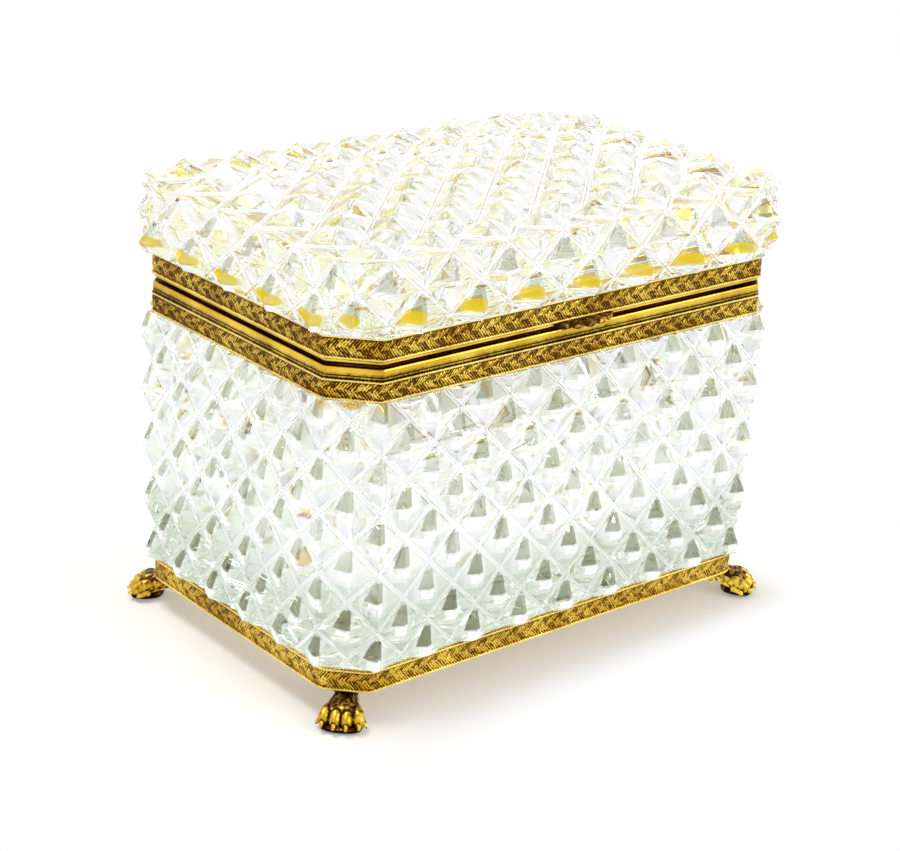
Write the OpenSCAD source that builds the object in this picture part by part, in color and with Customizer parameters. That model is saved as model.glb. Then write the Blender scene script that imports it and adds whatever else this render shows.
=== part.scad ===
// Glass casket: a cut-glass box with a hinged lid, held in chased gilt bands on four paw feet.
// The front faces -Y, the hinge is at +Y, the feet stand on z = 0 and X runs along the length.

/* [Casket] */
// Length over the two upper bands
case_l = 144; // [125:0.5:170]
// Depth over the two upper bands
case_w = 92.6; // [82:0.2:110]
// Leg of the cut corner of the upper bands
corner = 9.9; // [8.5:0.1:11.5]
// Thickness of the glass wall at the mouth, from the face of the band
glass_wall = 8; // [6.5:0.1:9]
// Radius of the upright corners and of the bottom edge inside the casket
inside_r = 7; // [5:0.5:9]
// Thickness of the glass floor
glass_floor = 10; // [7:0.5:14]
// Height of the hollow inside the lid
lid_hollow_h = 10.5; // [8:0.5:13]

/* [Heights] */
// Height of the feet
foot_h = 8; // [7:0.1:9.5]
// Height of the base band
base_band_h = 5.7; // [4.8:0.1:7]
// Height of cut glass that shows between the base band and the body band
body_glass_h = 69.4; // [55:0.2:85]
// Height of the body band
body_band_h = 5.2; // [4.6:0.1:7]
// Height of the plain rim above the body band
body_rim_h = 2.85; // [2.6:0.05:3.4]
// Gap between the two rims of the closed casket
lid_gap = 0.3; // [0.2:0.05:0.5]
// Height of the plain rim under the lid band
lid_rim_h = 1.7; // [1.6:0.05:2.2]
// Height of the lid band
lid_band_h = 5.65; // [4.8:0.05:7]
// Height of cut glass from the lid band up to the edge of the top
lid_glass_h = 17.7; // [15:0.1:24]

/* [Diamond cutting] */
// Width of one diamond on the body, from groove crossing to groove crossing
body_cell_w = 15.4; // [11:0.1:20]
// Height of one diamond on the body
body_cell_h = 15.4; // [11:0.1:20]
// Drop from the body band to the first groove crossings under it
body_first_row = 5.2; // [3:0.1:7]
// Height of the diamonds of the body over their grooves
body_cut = 2.9; // [1.5:0.1:4]
// Width of one diamond on the long sides of the lid
lid_cell_l = 17.3; // [12:0.1:22]
// Width of one diamond on the short sides of the lid
lid_cell_w = 16.7; // [12:0.1:22]
// Width of the last diamond of a short side as a share of the others
lid_end_share = 0.6; // [0.5:0.05:1]
// Height of one diamond on the sides of the lid
lid_cell_h = 14.6; // [11:0.1:18]
// Height of the diamonds on the sides of the lid over their grooves
lid_cut = 4; // [2:0.1:5]
// Height of the diamonds on top of the lid over their grooves
top_cut = 3.3; // [2:0.1:4.5]
// How far the edge of the top is drawn in at its groove crossings
edge_in = 0.8; // [0:0.1:1.5]
// How far the tips of the edge diamonds stand out from the band
edge_out = 3.4; // [2:0.1:4.5]
// How far the tips of the edge diamonds rise over the edge
edge_rise = 1; // [0:0.1:2]
// Height of the plain strip of glass over the lid band
margin_h = 1.1; // [0.5:0.1:2]
// How far that strip stands out from the grooves
margin_out = 0.3; // [0.2:0.05:0.6]

/* [Gilt bands] */
// Thickness of the bands
band_t = 1.5; // [1:0.1:2]
// Height of the plain rims of a band
rim_h = 0.8; // [0.5:0.05:1.2]
// Depth of the chased field between the rims
field_d = 0.35; // [0.2:0.05:0.6]
// How far the base band is drawn in at each end
base_in_l = 1.3; // [0:0.1:2.5]
// How far the base band is drawn in at the front and the back
base_in_w = 0.2; // [0:0.1:2]
// Leg of the cut corner of the base band
base_corner = 8.7; // [8:0.1:10.5]
// Radius that softens the corners of the base band
base_soft_r = 5; // [2:0.5:8]
// How far the body rim stands back from the band
body_rim_in = 0.4; // [0.3:0.05:0.6]
// How far the lid rim stands back from the band
lid_rim_in = 0.8; // [0.7:0.05:1.2]
// Depth of the fine groove round the body rim
line_d = 0.2; // [0.1:0.05:0.3]
// Width of the fine groove round the body rim
line_w = 0.5; // [0.3:0.1:0.8]
// Depth of the skirts that hold the frames in the glass
skirt_h = 4; // [2.5:0.5:6]
// Thickness of the skirts
skirt_t = 1; // [0.8:0.1:1.5]
// Clearance between glass and metal
glass_gap = 0.15; // [0.1:0.01:0.2]
// Leg of the cut corner of the glass foot inside the base band
glass_foot_corner = 12; // [11.5:0.1:13]
// Width of the ledge under the glass, from the face of the base band
ledge_w = 13; // [12:0.5:18]
// Thickness of the ledge under the glass
ledge_t = 1.2; // [1.2:0.1:2]

/* [Hinge] */
// Largest opening angle of the lid
open_angle = 95; // [92:1:105]
// Radius of the knuckles
knuckle_r = 2.1; // [2:0.05:2.4]
// Length of one knuckle
knuckle_l = 10; // [6:0.5:16]
// Gap between two knuckles
knuckle_gap = 0.3; // [0.2:0.05:0.5]
// Radius of the hinge pin
pin_r = 1.1; // [0.8:0.05:1.3]
// Clearance between the pin and the knuckles
pin_gap = 0.05; // [0.03:0.01:0.08]
// Height of the two buttons that close the pin
button_h = 0.6; // [0.4:0.1:1.2]
// Distance of the pin's axis behind the bands
pin_out = 2.4; // [2.4:0.05:2.8]
// Drop of the pin's axis under the top of the body rim
pin_drop = 0.45; // [0.3:0.05:0.7]
// Thickness of the hinge leaves
leaf_t = 0.4; // [0.3:0.05:0.4]
// Reach of the stop heels behind the axis
heel_l = 2.2; // [2.1:0.1:2.6]
// Gap that is left under the stop heels at the largest angle
heel_gap = 0.1; // [0.08:0.01:0.2]

/* [Thumb lift] */
// Width of the thumb lift
lift_w = 19; // [14:0.5:24]
// How far the thumb lift stands out from the lid rim
lift_out = 3.6; // [3:0.1:5]
// Radius of the rounded front of the middle lobe
lift_r = 1.2; // [0.9:0.05:1.3]
// Thickness of the plate that joins the lobes
lift_plate = 0.9; // [0.6:0.05:1.2]

/* [Feet] */
// How far the toes reach out from the cut corner of the base band
toe_reach = 8.4; // [6.5:0.1:10]
// Width of the paw over its toes
paw_w = 11.6; // [10:0.1:14]
// Width of the ankle
ankle_w = 6.2; // [5.6:0.1:7]
// Distance of the foot screw inside the cut corner of the base band
screw_in = 4.8; // [4.4:0.1:5.2]
// Radius of the foot screw's shank
screw_r = 1.2; // [0.8:0.05:1.4]
// Radius of the foot screw's head
head_r = 2.1; // [1.9:0.05:2.4]
// Depth of the foot screw's tapered head
head_h = 0.9; // [0.6:0.1:1.1]
// Length of the screw's shank inside the foot
screw_l = 3.6; // [2.5:0.1:4]
// Clearance round the screws
screw_gap = 0.05; // [0.03:0.01:0.1]

/* [Hidden] */

gilt = [0.84, 0.66, 0.27];
dark_gilt = [0.72, 0.53, 0.2];
clear_glass = [0.8, 0.89, 0.87, 0.5];
steel = [0.6, 0.58, 0.55];

// Half sizes of the bands
half_l = case_l / 2;
half_w = case_w / 2;
base_half_l = half_l - base_in_l;
base_half_w = half_w - base_in_w;

// Levels, from the table up
z_base = foot_h;
z_ledge = z_base + ledge_t;
z_cut = z_base + base_band_h;
z_body_band = z_cut + body_glass_h;
z_body_rim = z_body_band + body_band_h;
z_mouth = z_body_rim + body_rim_h;
z_lid_rim = z_mouth + lid_gap;
z_lid_band = z_lid_rim + lid_rim_h;
z_lid_cut = z_lid_band + lid_band_h;
z_edge = z_lid_cut + lid_glass_h;

// Hollows of the two glasses
hollow_l = half_l - glass_wall;
hollow_w = half_w - glass_wall;
z_floor = z_ledge + glass_floor;
z_ceiling = z_lid_band + lid_hollow_h;
ceiling_r = inside_r / 2;

// Small distances
touch = 0.05;
overlap = 0.4;
past = 1;

// Axis of the hinge
axis_y = half_w + pin_out;
axis_z = z_mouth - pin_drop;
knuckles = 5;
hinge_l = knuckles * knuckle_l + (knuckles - 1) * knuckle_gap;
knuckle_step = knuckle_l + knuckle_gap;
web_short = 0.3;

// Middle of the cut corner of the base band, where a foot stands
foot_x = base_half_l - base_corner / 2;
foot_y = base_half_w - base_corner / 2;

// An octagon: a rectangle of half sizes h and w with cut corners of the given leg
function octagon(h, w, leg) = [
    [h - leg, -w], [h, -w + leg], [h, w - leg], [h - leg, w],
    [-h + leg, w], [-h, w - leg], [-h, -w + leg], [-h + leg, -w]];

// The leg of an octagon that lies d outside one whose leg is given
function leg_out(leg, d) = max(leg + d * (2 - sqrt(2)), 0.2);

// Points of an octagon whose corners are rounded with radius r
function soft_octagon(h, w, leg, r) =
    let(p = octagon(h, w, leg), steps = 6, back = r * tan(22.5))
    [for (k = [0:7])
        let(a = 45 * k,
            side = [cos(a), sin(a)],
            normal = [-sin(a), cos(a)],
            start = p[k] - back * side)
        for (s = [0:steps])
            let(t = 45 * s / steps)
            start + r * (side * sin(t) + normal * (1 - cos(t)))];

// Distance along the outline from the middle of a side to the middle of its cut corner
function half_path(h, leg) = h - leg + leg * sqrt(1 / 2);

// The point at distance s along a side: how far along it lies and how far out
function on_side(h, out, leg, s) =
    let(e = (abs(s) - (h - leg)) * sqrt(1 / 2))
    e <= 0 ? [s, out] : [sign(s) * (h - leg + e), out - e];

// Turns a point of a side to the front, the right, the back or the left
function turned(side, p) =
    side == 0 ? [p[0], -p[1]] :
    side == 1 ? [p[1], p[0]] :
    side == 2 ? [-p[0], p[1]] : [-p[1], -p[0]];

// Where groove crossing k of n lies, from -1 to 1; the two end cells have a share of the width
function crossing(k, n, share) =
    k <= 0 ? -1 : k >= n ? 1 : -1 + (share + k - 1) * 2 / (n - 2 + 2 * share);

// The same for half steps: an odd i lies midway between two crossings
function column(i, n, share) =
    (crossing(floor(i / 2), n, share) + crossing(ceil(i / 2), n, share)) / 2;

// The side that half step i lies on, with n_l cells on a long side and n_w on a short one
function side_of(i, n_l, n_w) =
    i < 2 * n_l ? 0 : i < 2 * (n_l + n_w) ? 1 : i < 2 * (2 * n_l + n_w) ? 2 : 3;
function side_start(side, n_l, n_w) = [0, 2 * n_l, 2 * (n_l + n_w), 2 * (2 * n_l + n_w)][side];

// One point of the lattice at half step i and level z, lying d outside the octagon
function lattice_point(i, n_l, n_w, share, h, w, leg, d, z) =
    let(side = side_of(i, n_l, n_w),
        long = side % 2 == 0,
        c = leg_out(leg, d),
        along = (long ? h : w) + d,
        out = (long ? w : h) + d,
        step = i - side_start(side, n_l, n_w),
        s = column(step, long ? n_l : n_w, long ? 1 : share) * half_path(along, c),
        p = turned(side, on_side(along, out, c, s)))
    [p[0], p[1], z];

// A point is a groove crossing where step and row add up to an odd number, else a diamond's tip
function is_crossing(i, j) = (i + j) % 2 == 1;

// Two facets of a lattice cell with corners a, b over c, d, split along the groove
function split_cell(a, b, c, d, groove_a_d) =
    groove_a_d ? [[a, b, d], [a, d, c]] : [[a, b, c], [b, d, c]];

// Facets of the walls: rows of count points each, the first one at the top
function wall_facets(rows, count) =
    [for (j = [0:rows - 1]) for (i = [0:count - 1])
        let(right = (i + 1) % count, top = j * count, low = top + count)
        each split_cell(top + i, top + right, low + i, low + right, is_crossing(i, j))];

// Half sizes of the body glass at a level: it tapers from the body band to the base band
function down_share(z) = (z_body_band - z) / body_glass_h;
function body_half_l(z) = half_l - base_in_l * down_share(z);
function body_half_w(z) = half_w - base_in_w * down_share(z);

module prism(points, z_low, z_high) {
    translate([0, 0, z_low])
        linear_extrude(height = z_high - z_low)
            polygon(points);
}

// A rectangle of half sizes h and w with corners of radius r
module round_rectangle(h, w, r) {
    square([2 * h, 2 * (w - r)], center = true);
    square([2 * (h - r), 2 * w], center = true);
    for (x = [-1, 1], y = [-1, 1])
        translate([x * (h - r), y * (w - r)])
            circle(r = r, $fn = 64);
}

module round_slab(h, w, r, z_low, z_high) {
    translate([0, 0, z_low])
        linear_extrude(height = z_high - z_low)
            round_rectangle(h, w, r);
}

// Everything between two levels
module slab(z_low, z_high) {
    translate([-case_l, -case_l, z_low])
        cube([2 * case_l, 2 * case_l, z_high - z_low]);
}

// The hollow of a glass: upright corners of radius r, the far end rounded with radius end_r.
// It opens upwards from z_end to z_open, or downwards where z_open is the lower one.
module hollow(h, w, r, end_r, z_end, z_open) {
    way = sign(z_open - z_end);
    round_h = abs(z_open - z_end) - end_r;
    hull() {
        for (x = [-1, 1], y = [-1, 1]) {
            translate([x * (h - r), y * (w - r), way > 0 ? z_end + end_r : z_open])
                cylinder(r = r, h = round_h, $fn = 32);
            for (t = [15:15:75])
                translate([x * (h - r), y * (w - r), z_end + way * end_r * (1 - sin(90 - t))])
                    linear_extrude(height = 0.01)
                        circle(r = r - end_r * (1 - cos(90 - t)), $fn = 32);
        }
    }
}

// The diamond-cut block of the body: rows of half steps, tips and crossings by turns
module body_lattice() {
    n_l = round(2 * half_path(half_l, corner) / body_cell_w);
    n_w = round(2 * half_path(half_w, corner) / body_cell_w);
    count = 4 * (n_l + n_w);
    step = body_cell_h / 2;
    z_first = z_body_band - body_first_row + step;
    rows = ceil((z_first - z_cut) / step);
    points = [for (j = [0:rows]) for (i = [0:count - 1])
        let(z = z_first - j * step)
        lattice_point(i, n_l, n_w, 1, body_half_l(z), body_half_w(z), corner,
            is_crossing(i, j) ? 0 : body_cut, z)];
    top = len(points);
    low = rows * count;
    polyhedron(
        points = concat(points, [[0, 0, z_first], [0, 0, z_first - rows * step]]),
        faces = concat(
            wall_facets(rows, count),
            [for (i = [0:count - 1]) [top, (i + 1) % count, i]],
            [for (i = [0:count - 1]) [top + 1, low + i, low + (i + 1) % count]]),
        convexity = 6);
}

module body_glass() {
    neck = -band_t - glass_gap;
    foot = -band_t - 2 * glass_gap;
    color(clear_glass)
    difference() {
        union() {
            intersection() {
                body_lattice();
                slab(z_cut + past, z_body_band - touch);
            }
            prism(octagon(half_l + neck, half_w + neck, leg_out(corner, neck)),
                z_body_band - overlap, z_body_rim);
            prism(octagon(base_half_l + foot, base_half_w + foot, glass_foot_corner),
                z_ledge, z_cut + past + overlap);
        }
        hollow(hollow_l, hollow_w, inside_r, inside_r, z_floor, z_body_rim + past);
    }
}

// The lid's cut block: its walls as on the body, and diamonds in rows across the top
module lid_lattice() {
    n_l = 2 * round(half_path(half_l, corner) / lid_cell_l);
    n_w = 2 * round((2 * half_path(half_w, corner) / lid_cell_w + 2 - 2 * lid_end_share) / 2);
    count = 4 * (n_l + n_w);
    step = lid_cell_h / 2;
    rows = ceil(lid_glass_h / step);
    walls = [for (j = [0:rows]) for (i = [0:count - 1])
        let(tip = !is_crossing(i, j), edge = j == 0)
        lattice_point(i, n_l, n_w, lid_end_share, half_l, half_w, corner,
            edge ? (tip ? edge_out : -edge_in) : (tip ? lid_cut : 0),
            z_edge - j * step + (edge && tip ? edge_rise : 0))];
    top = [for (i = [1:2 * n_l - 1]) for (j = [1:2 * n_w - 1])
        [on_side(half_l, half_w, corner, column(i, n_l, 1) * half_path(half_l, corner))[0],
            on_side(half_w, half_l, corner,
                column(j, n_w, lid_end_share) * half_path(half_w, corner))[0],
            z_edge + (is_crossing(i, j) ? 0 : top_cut)]];
    low = rows * count;
    centre = len(walls) + len(top);
    // Number of the point at column i and row j of the top, whose border is the first ring
    function on_top(i, j) =
        j == 0 ? i :
        i == 2 * n_l ? 2 * n_l + j :
        j == 2 * n_w ? 4 * n_l + 2 * n_w - i :
        i == 0 ? (4 * n_l + 4 * n_w - j) % count :
        len(walls) + (i - 1) * (2 * n_w - 1) + j - 1;
    polyhedron(
        points = concat(walls, top, [[0, 0, z_edge - rows * step]]),
        faces = concat(
            wall_facets(rows, count),
            [for (i = [0:2 * n_l - 1]) for (j = [0:2 * n_w - 1])
                each split_cell(on_top(i, j + 1), on_top(i + 1, j + 1), on_top(i, j),
                    on_top(i + 1, j), is_crossing(i, j + 1))],
            [for (i = [0:count - 1]) [centre, low + i, low + (i + 1) % count]]),
        convexity = 6);
}

module lid_glass() {
    neck = -band_t - glass_gap;
    color(clear_glass)
    difference() {
        union() {
            intersection() {
                lid_lattice();
                slab(z_lid_cut + margin_h / 2, z_edge + past + top_cut);
            }
            prism(octagon(half_l + margin_out, half_w + margin_out, leg_out(corner, margin_out)),
                z_lid_cut + touch, z_lid_cut + margin_h);
            prism(octagon(half_l + neck, half_w + neck, leg_out(corner, neck)),
                z_lid_band, z_lid_cut + overlap);
        }
        hollow(hollow_l, hollow_w, inside_r, ceiling_r, z_ceiling, z_lid_band - past);
    }
}

// A band: an octagonal ring with two plain rims and a field between them that lies deeper
module band(z_low, h) {
    difference() {
        prism(octagon(half_l, half_w, corner), z_low, z_low + h);
        prism(octagon(half_l - band_t, half_w - band_t, leg_out(corner, -band_t)),
            z_low - past, z_low + h + past);
        difference() {
            prism(octagon(half_l + past, half_w + past, leg_out(corner, past)),
                z_low + rim_h, z_low + h - rim_h);
            prism(octagon(half_l - field_d, half_w - field_d, leg_out(corner, -field_d)),
                z_low, z_low + h);
        }
    }
}

module body_band() {
    color(gilt) band(z_body_band, body_band_h);
}

module lid_band() {
    color(gilt) band(z_lid_band, lid_band_h);
}

module base_band() {
    color(gilt)
    difference() {
        prism(soft_octagon(base_half_l, base_half_w, base_corner, base_soft_r), z_base, z_cut);
        prism(octagon(base_half_l - band_t, base_half_w - band_t, leg_out(base_corner, -band_t)),
            z_base - past, z_cut + past);
        difference() {
            slab(z_base + rim_h, z_cut - rim_h);
            prism(soft_octagon(base_half_l - field_d, base_half_w - field_d,
                leg_out(base_corner, -field_d), base_soft_r), z_base, z_cut);
        }
    }
}

// A flat frame over the edge of the glass, with a skirt that holds it in the hollow
module frame(outline, z_low, z_high, skirt_low, skirt_high) {
    h = hollow_l - glass_gap;
    w = hollow_w - glass_gap;
    r = inside_r - glass_gap;
    difference() {
        union() {
            prism(outline, z_low, z_high);
            round_slab(h, w, r, skirt_low, skirt_high);
        }
        round_slab(h - skirt_t, w - skirt_t, r - skirt_t, skirt_low - past, skirt_high + past);
    }
}

module body_frame() {
    in = body_rim_in;
    z_line = z_body_rim + body_rim_h / 2;
    color(dark_gilt)
    difference() {
        frame(octagon(half_l - in, half_w - in, leg_out(corner, -in)),
            z_body_rim, z_mouth, z_body_rim - skirt_h, z_mouth);
        difference() {
            slab(z_line - line_w / 2, z_line + line_w / 2);
            prism(octagon(half_l - in - line_d, half_w - in - line_d,
                leg_out(corner, -in - line_d)), z_body_rim, z_mouth);
        }
    }
}

module lid_frame() {
    in = lid_rim_in;
    color(dark_gilt)
    frame(octagon(half_l - in, half_w - in, leg_out(corner, -in)),
        z_lid_rim, z_lid_band, z_lid_rim, z_lid_band + skirt_h);
}

// Places its children at the four cut corners of the base band, with X pointing outwards
module at_corner(x, y) {
    translate([x * foot_x, y * foot_y, 0])
        rotate([0, 0, atan2(y, x)])
            children();
}

// The ledge inside the base band that carries the glass and holds the feet
module base_frame() {
    out = -band_t - glass_gap;
    color(dark_gilt)
    difference() {
        prism(octagon(base_half_l + out, base_half_w + out, leg_out(base_corner, out)),
            z_base, z_ledge);
        prism(octagon(base_half_l - ledge_w, base_half_w - ledge_w,
            leg_out(base_corner, -ledge_w)), z_base - past, z_ledge + past);
        for (x = [-1, 1], y = [-1, 1])
            at_corner(x, y)
                screw(screw_gap, past);
    }
}

// A countersunk screw whose head is flush with the ledge; grow widens it into its hole
module screw(grow, above) {
    translate([-screw_in, 0, 0]) {
        translate([0, 0, z_ledge - head_h])
            cylinder(r1 = screw_r + grow, r2 = head_r + grow, h = head_h, $fn = 32);
        if (above > 0)
            translate([0, 0, z_ledge - touch])
                cylinder(r = head_r + grow, h = above, $fn = 32);
        translate([0, 0, z_base - screw_l])
            cylinder(r = screw_r + grow, h = screw_l + ledge_t - head_h + touch, $fn = 32);
    }
}

module foot_screws() {
    slot_w = 0.5;
    slot_d = 0.4;
    color(steel)
    for (x = [-1, 1], y = [-1, 1])
        at_corner(x, y)
            difference() {
                screw(0, 0);
                translate([-screw_in, 0, z_ledge])
                    cube([3 * head_r, slot_w, 2 * slot_d], center = true);
            }
}

// A cast lion's paw: a leg that leans inwards, a ball that stands on the table and four toes,
// cut flat at the sole and under the band
module foot() {
    toes = 4;
    toe_r = paw_w / 8;
    toe_step = (paw_w - 2 * toe_r) / (toes - 1);
    leg_r = ankle_w / 2;
    boss_r = leg_r + 0.4;
    boss_h = 1;
    shin_x = -leg_r - 0.3;
    heel_r = leg_r * 0.85;
    heel_x = -leg_r - 0.8;
    heel_z = foot_h * 0.55;
    ball_r = paw_w * 0.2;
    ball_x = toe_reach * 0.25;
    ball_y = paw_w * 0.2;
    ball_z = ball_r * 0.75;
    knuckle_z = foot_h * 0.4;
    knuckle_out = toe_reach * 0.55;
    tip_r = toe_r * 0.9;
    tip_z = toe_r * 0.7;
    color(gilt)
    difference() {
        union() {
            // The leg, from its boss under the band down to the heel
            hull() {
                translate([-screw_in, 0, foot_h - boss_h])
                    cylinder(r = boss_r, h = boss_h, $fn = 24);
                translate([shin_x, 0, foot_h - boss_h])
                    cylinder(r = leg_r, h = boss_h, $fn = 24);
                translate([heel_x, 0, heel_z])
                    sphere(r = heel_r, $fn = 20);
            }
            // The paw, from the heel forward to the ball
            hull() {
                translate([heel_x, 0, heel_z])
                    sphere(r = heel_r, $fn = 20);
                for (y = [-ball_y, ball_y])
                    translate([ball_x, y, ball_z])
                        sphere(r = ball_r, $fn = 20);
            }
            for (k = [0:toes - 1]) {
                side = k - (toes - 1) / 2;
                short = abs(side) > 1 ? paw_w * 0.09 : 0;
                hull() {
                    translate([ball_x - short, side * toe_step * 0.8, knuckle_z])
                        sphere(r = toe_r, $fn = 16);
                    translate([knuckle_out - short, side * toe_step * 0.95, knuckle_z])
                        sphere(r = toe_r, $fn = 16);
                    translate([toe_reach - tip_r - short, side * toe_step, tip_z])
                        sphere(r = tip_r, $fn = 16);
                }
            }
        }
        slab(-foot_h, 0);
        slab(foot_h, 2 * foot_h);
        screw(screw_gap, past);
    }
}

module foot_front_left() {
    at_corner(-1, -1) foot();
}

module foot_front_right() {
    at_corner(1, -1) foot();
}

module foot_back_left() {
    at_corner(-1, 1) foot();
}

module foot_back_right() {
    at_corner(1, 1) foot();
}

// Start of knuckle k along X
function knuckle_x(k) = -hinge_l / 2 + k * knuckle_step;

// A cylinder along X on the hinge's axis
module on_axis(x, l, r) {
    translate([x, axis_y, axis_z])
        rotate([0, 90, 0])
            cylinder(r = r, h = l, $fn = 48);
}

// A leaf with its knuckles, first and every second one after it, and the web that joins them
module leaf(first, y_face, z_low, z_high, web_low, web_high) {
    difference() {
        union() {
            translate([-hinge_l / 2, y_face, z_low])
                cube([hinge_l, leaf_t, z_high - z_low]);
            for (k = [first:2:knuckles - 1]) {
                on_axis(knuckle_x(k), knuckle_l, knuckle_r);
                translate([knuckle_x(k), y_face, web_low])
                    cube([knuckle_l, axis_y - y_face, web_high - web_low]);
            }
            children();
        }
        on_axis(-hinge_l, 2 * hinge_l, pin_r + pin_gap);
    }
}

module hinge_leaf_body() {
    color(gilt)
    leaf(0, half_w - body_rim_in, z_body_rim + 2 * touch, z_mouth - touch,
        axis_z - knuckle_r * 0.9, z_mouth - touch - web_short);
}

module hinge_leaf_lid() {
    // The heels drop this far under the axis, so that they meet the other leaf just past
    // the largest angle
    heel_d = (pin_out - heel_gap + heel_l * cos(open_angle)) / sin(open_angle);
    heel_top = 0.6;
    color(gilt)
    leaf(1, half_w - lid_rim_in, z_lid_rim + 2 * touch, z_lid_band - touch,
        z_lid_rim, z_lid_band - touch - web_short) {
        for (k = [1:2:knuckles - 1])
            translate([knuckle_x(k), axis_y, axis_z - heel_d])
                cube([knuckle_l, heel_l, heel_d + heel_top]);
    }
}

module hinge_pin() {
    color(steel) {
        on_axis(-hinge_l / 2, hinge_l, pin_r);
        for (x = [-hinge_l / 2 - button_h, hinge_l / 2])
            on_axis(x, button_h, knuckle_r * 0.8);
    }
}

// A small lip under the middle of the lid band: a half oval plate with five lobes under it
module thumb_lift() {
    lobes = 5;
    y_face = -half_w + lid_rim_in;
    z_top = z_lid_band - touch;
    root = 0.5;
    color(gilt)
    difference() {
        union() {
            translate([0, y_face, z_top - lift_plate])
                linear_extrude(height = lift_plate)
                    polygon([for (a = [0:10:180]) [lift_w / 2 * cos(a), -lift_out * sin(a)]]);
            for (k = [0:lobes - 1]) {
                side = (k - (lobes - 1) / 2) / ((lobes - 1) / 2);
                r = lift_r * (1 - 0.25 * abs(side));
                reach = lift_out * sqrt(1 - 0.6 * side * side);
                x = side * (lift_w / 2 - 2 * r);
                hull() {
                    translate([x * 0.9, y_face + root, z_top - r])
                        rotate([0, 90, 0])
                            cylinder(r = r, h = lift_w * 0.16, center = true, $fn = 16);
                    translate([x, y_face - reach + r, z_top - r])
                        sphere(r = r, $fn = 16);
                }
            }
        }
        translate([-lift_w, y_face, z_lid_rim - past])
            cube([2 * lift_w, lift_out, lid_rim_h + 3 * past]);
        // Nothing of the lip hangs over the body rim
        translate([-lift_w, -half_w - root, z_mouth - past])
            cube([2 * lift_w, 2 * past, lid_gap + past]);
    }
}

body_glass();
lid_glass();
lid_band();
lid_frame();
body_band();
body_frame();
base_band();
base_frame();
hinge_leaf_lid();
hinge_leaf_body();
hinge_pin();
thumb_lift();
foot_front_left();
foot_front_right();
foot_back_left();
foot_back_right();
foot_screws();
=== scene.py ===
# %% [markdown]
# A glass casket is two thick blocks of clear glass, each ground all over with crossing
# grooves, and gilt bronze mounts that hold them: three chased bands, two plain rims, a
# hinge, a thumb lift and four lion's paws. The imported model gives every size. Here each
# block and each mount gets the edges, the chasing and the finish that it has on the table.
# The measures are read from the frame, so that a piece always lies on what carries it.

import math
from functools import partial

import bmesh
import bpy
import numpy as np
from mathutils import Matrix, Vector


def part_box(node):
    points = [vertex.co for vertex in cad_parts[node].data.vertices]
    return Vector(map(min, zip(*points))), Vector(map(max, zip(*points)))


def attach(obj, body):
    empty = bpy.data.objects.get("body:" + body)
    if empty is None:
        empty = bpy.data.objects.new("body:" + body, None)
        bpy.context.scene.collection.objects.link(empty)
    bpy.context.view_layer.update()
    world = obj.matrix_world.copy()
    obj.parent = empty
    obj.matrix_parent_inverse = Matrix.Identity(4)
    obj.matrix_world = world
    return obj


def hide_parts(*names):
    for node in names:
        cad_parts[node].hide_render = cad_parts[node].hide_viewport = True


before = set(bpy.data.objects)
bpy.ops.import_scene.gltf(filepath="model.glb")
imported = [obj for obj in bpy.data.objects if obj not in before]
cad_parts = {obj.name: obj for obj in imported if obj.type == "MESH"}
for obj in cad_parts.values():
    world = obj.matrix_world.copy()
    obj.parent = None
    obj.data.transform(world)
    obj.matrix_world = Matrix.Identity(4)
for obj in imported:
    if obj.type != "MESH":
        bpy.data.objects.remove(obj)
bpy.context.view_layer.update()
print("nodes:", sorted(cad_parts))

# %% Measures
MM = 0.001


def half_size(node):
    """Half the length and half the depth of a node."""
    low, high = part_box(node)
    return (high.x - low.x) / 2, (high.y - low.y) / 2


def levels(node):
    """Lowest and highest level of a node."""
    low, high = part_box(node)
    return low.z, high.z


HALF_L, HALF_W = half_size("body_band")
BASE_HALF_L, BASE_HALF_W = half_size("base_band")
BAND_CORNER = 9.9 * MM
BASE_CORNER = 8.7 * MM
BAND_T = 1.5 * MM
BODY_BAND = levels("body_band")
LID_BAND = levels("lid_band")
BASE_BAND = levels("base_band")
LEDGE_TOP = levels("base_frame")[1]
GLASS_WALL = 8 * MM
INSIDE_R = 7 * MM
print("bands, half size:", round(HALF_L, 4), round(HALF_W, 4))

# %% [markdown]
# Every shape below is a grid of points worked out as whole arrays. A few helpers turn a
# grid into quads, close a tube at its ends and join shapes, and one turns arrays into a
# mesh, so that each piece needs only its formula.

# %% Faces of a grid


def grid_quads(rows, columns, close_rows=False):
    """Quads of a grid of closed rows: a point, its right neighbour and the two below."""
    here = np.arange(rows * columns).reshape(rows, columns)
    right, down = np.roll(here, -1, axis=1), np.roll(here, -1, axis=0)
    quads = np.stack([here, right, np.roll(right, -1, axis=0), down], axis=-1)
    return quads[:rows if close_rows else rows - 1].reshape(-1, 4)


def fan(ring, pole):
    """Triangles from a closed ring of point numbers to one pole."""
    return np.stack([ring, np.roll(ring, -1), np.full(len(ring), pole)], axis=-1)


def tube(rings, poles):
    """A closed tube: its rings and two poles as points, its quads, and its ends' triangles."""
    rows, n = rings.shape[:2]
    first, last = np.arange(n)[::-1], np.arange((rows - 1) * n, rows * n)
    fans = np.concatenate([fan(first, rows * n), fan(last, rows * n + 1)])
    return np.concatenate([rings.reshape(-1, 3), poles]), grid_quads(rows, n), fans


def joined(shapes):
    """Shapes of points, quads and triangles as one, with their point numbers moved up."""
    points, quads, fans = zip(*shapes)
    start = np.cumsum([0, *map(len, points)])
    return (
        np.concatenate(points), np.concatenate([q + s for q, s in zip(quads, start)]),
        np.concatenate([f + s for f, s in zip(fans, start)]))


def unit(ways):
    """Directions of length 1."""
    return ways / np.linalg.norm(ways, axis=-1, keepdims=True)


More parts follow.
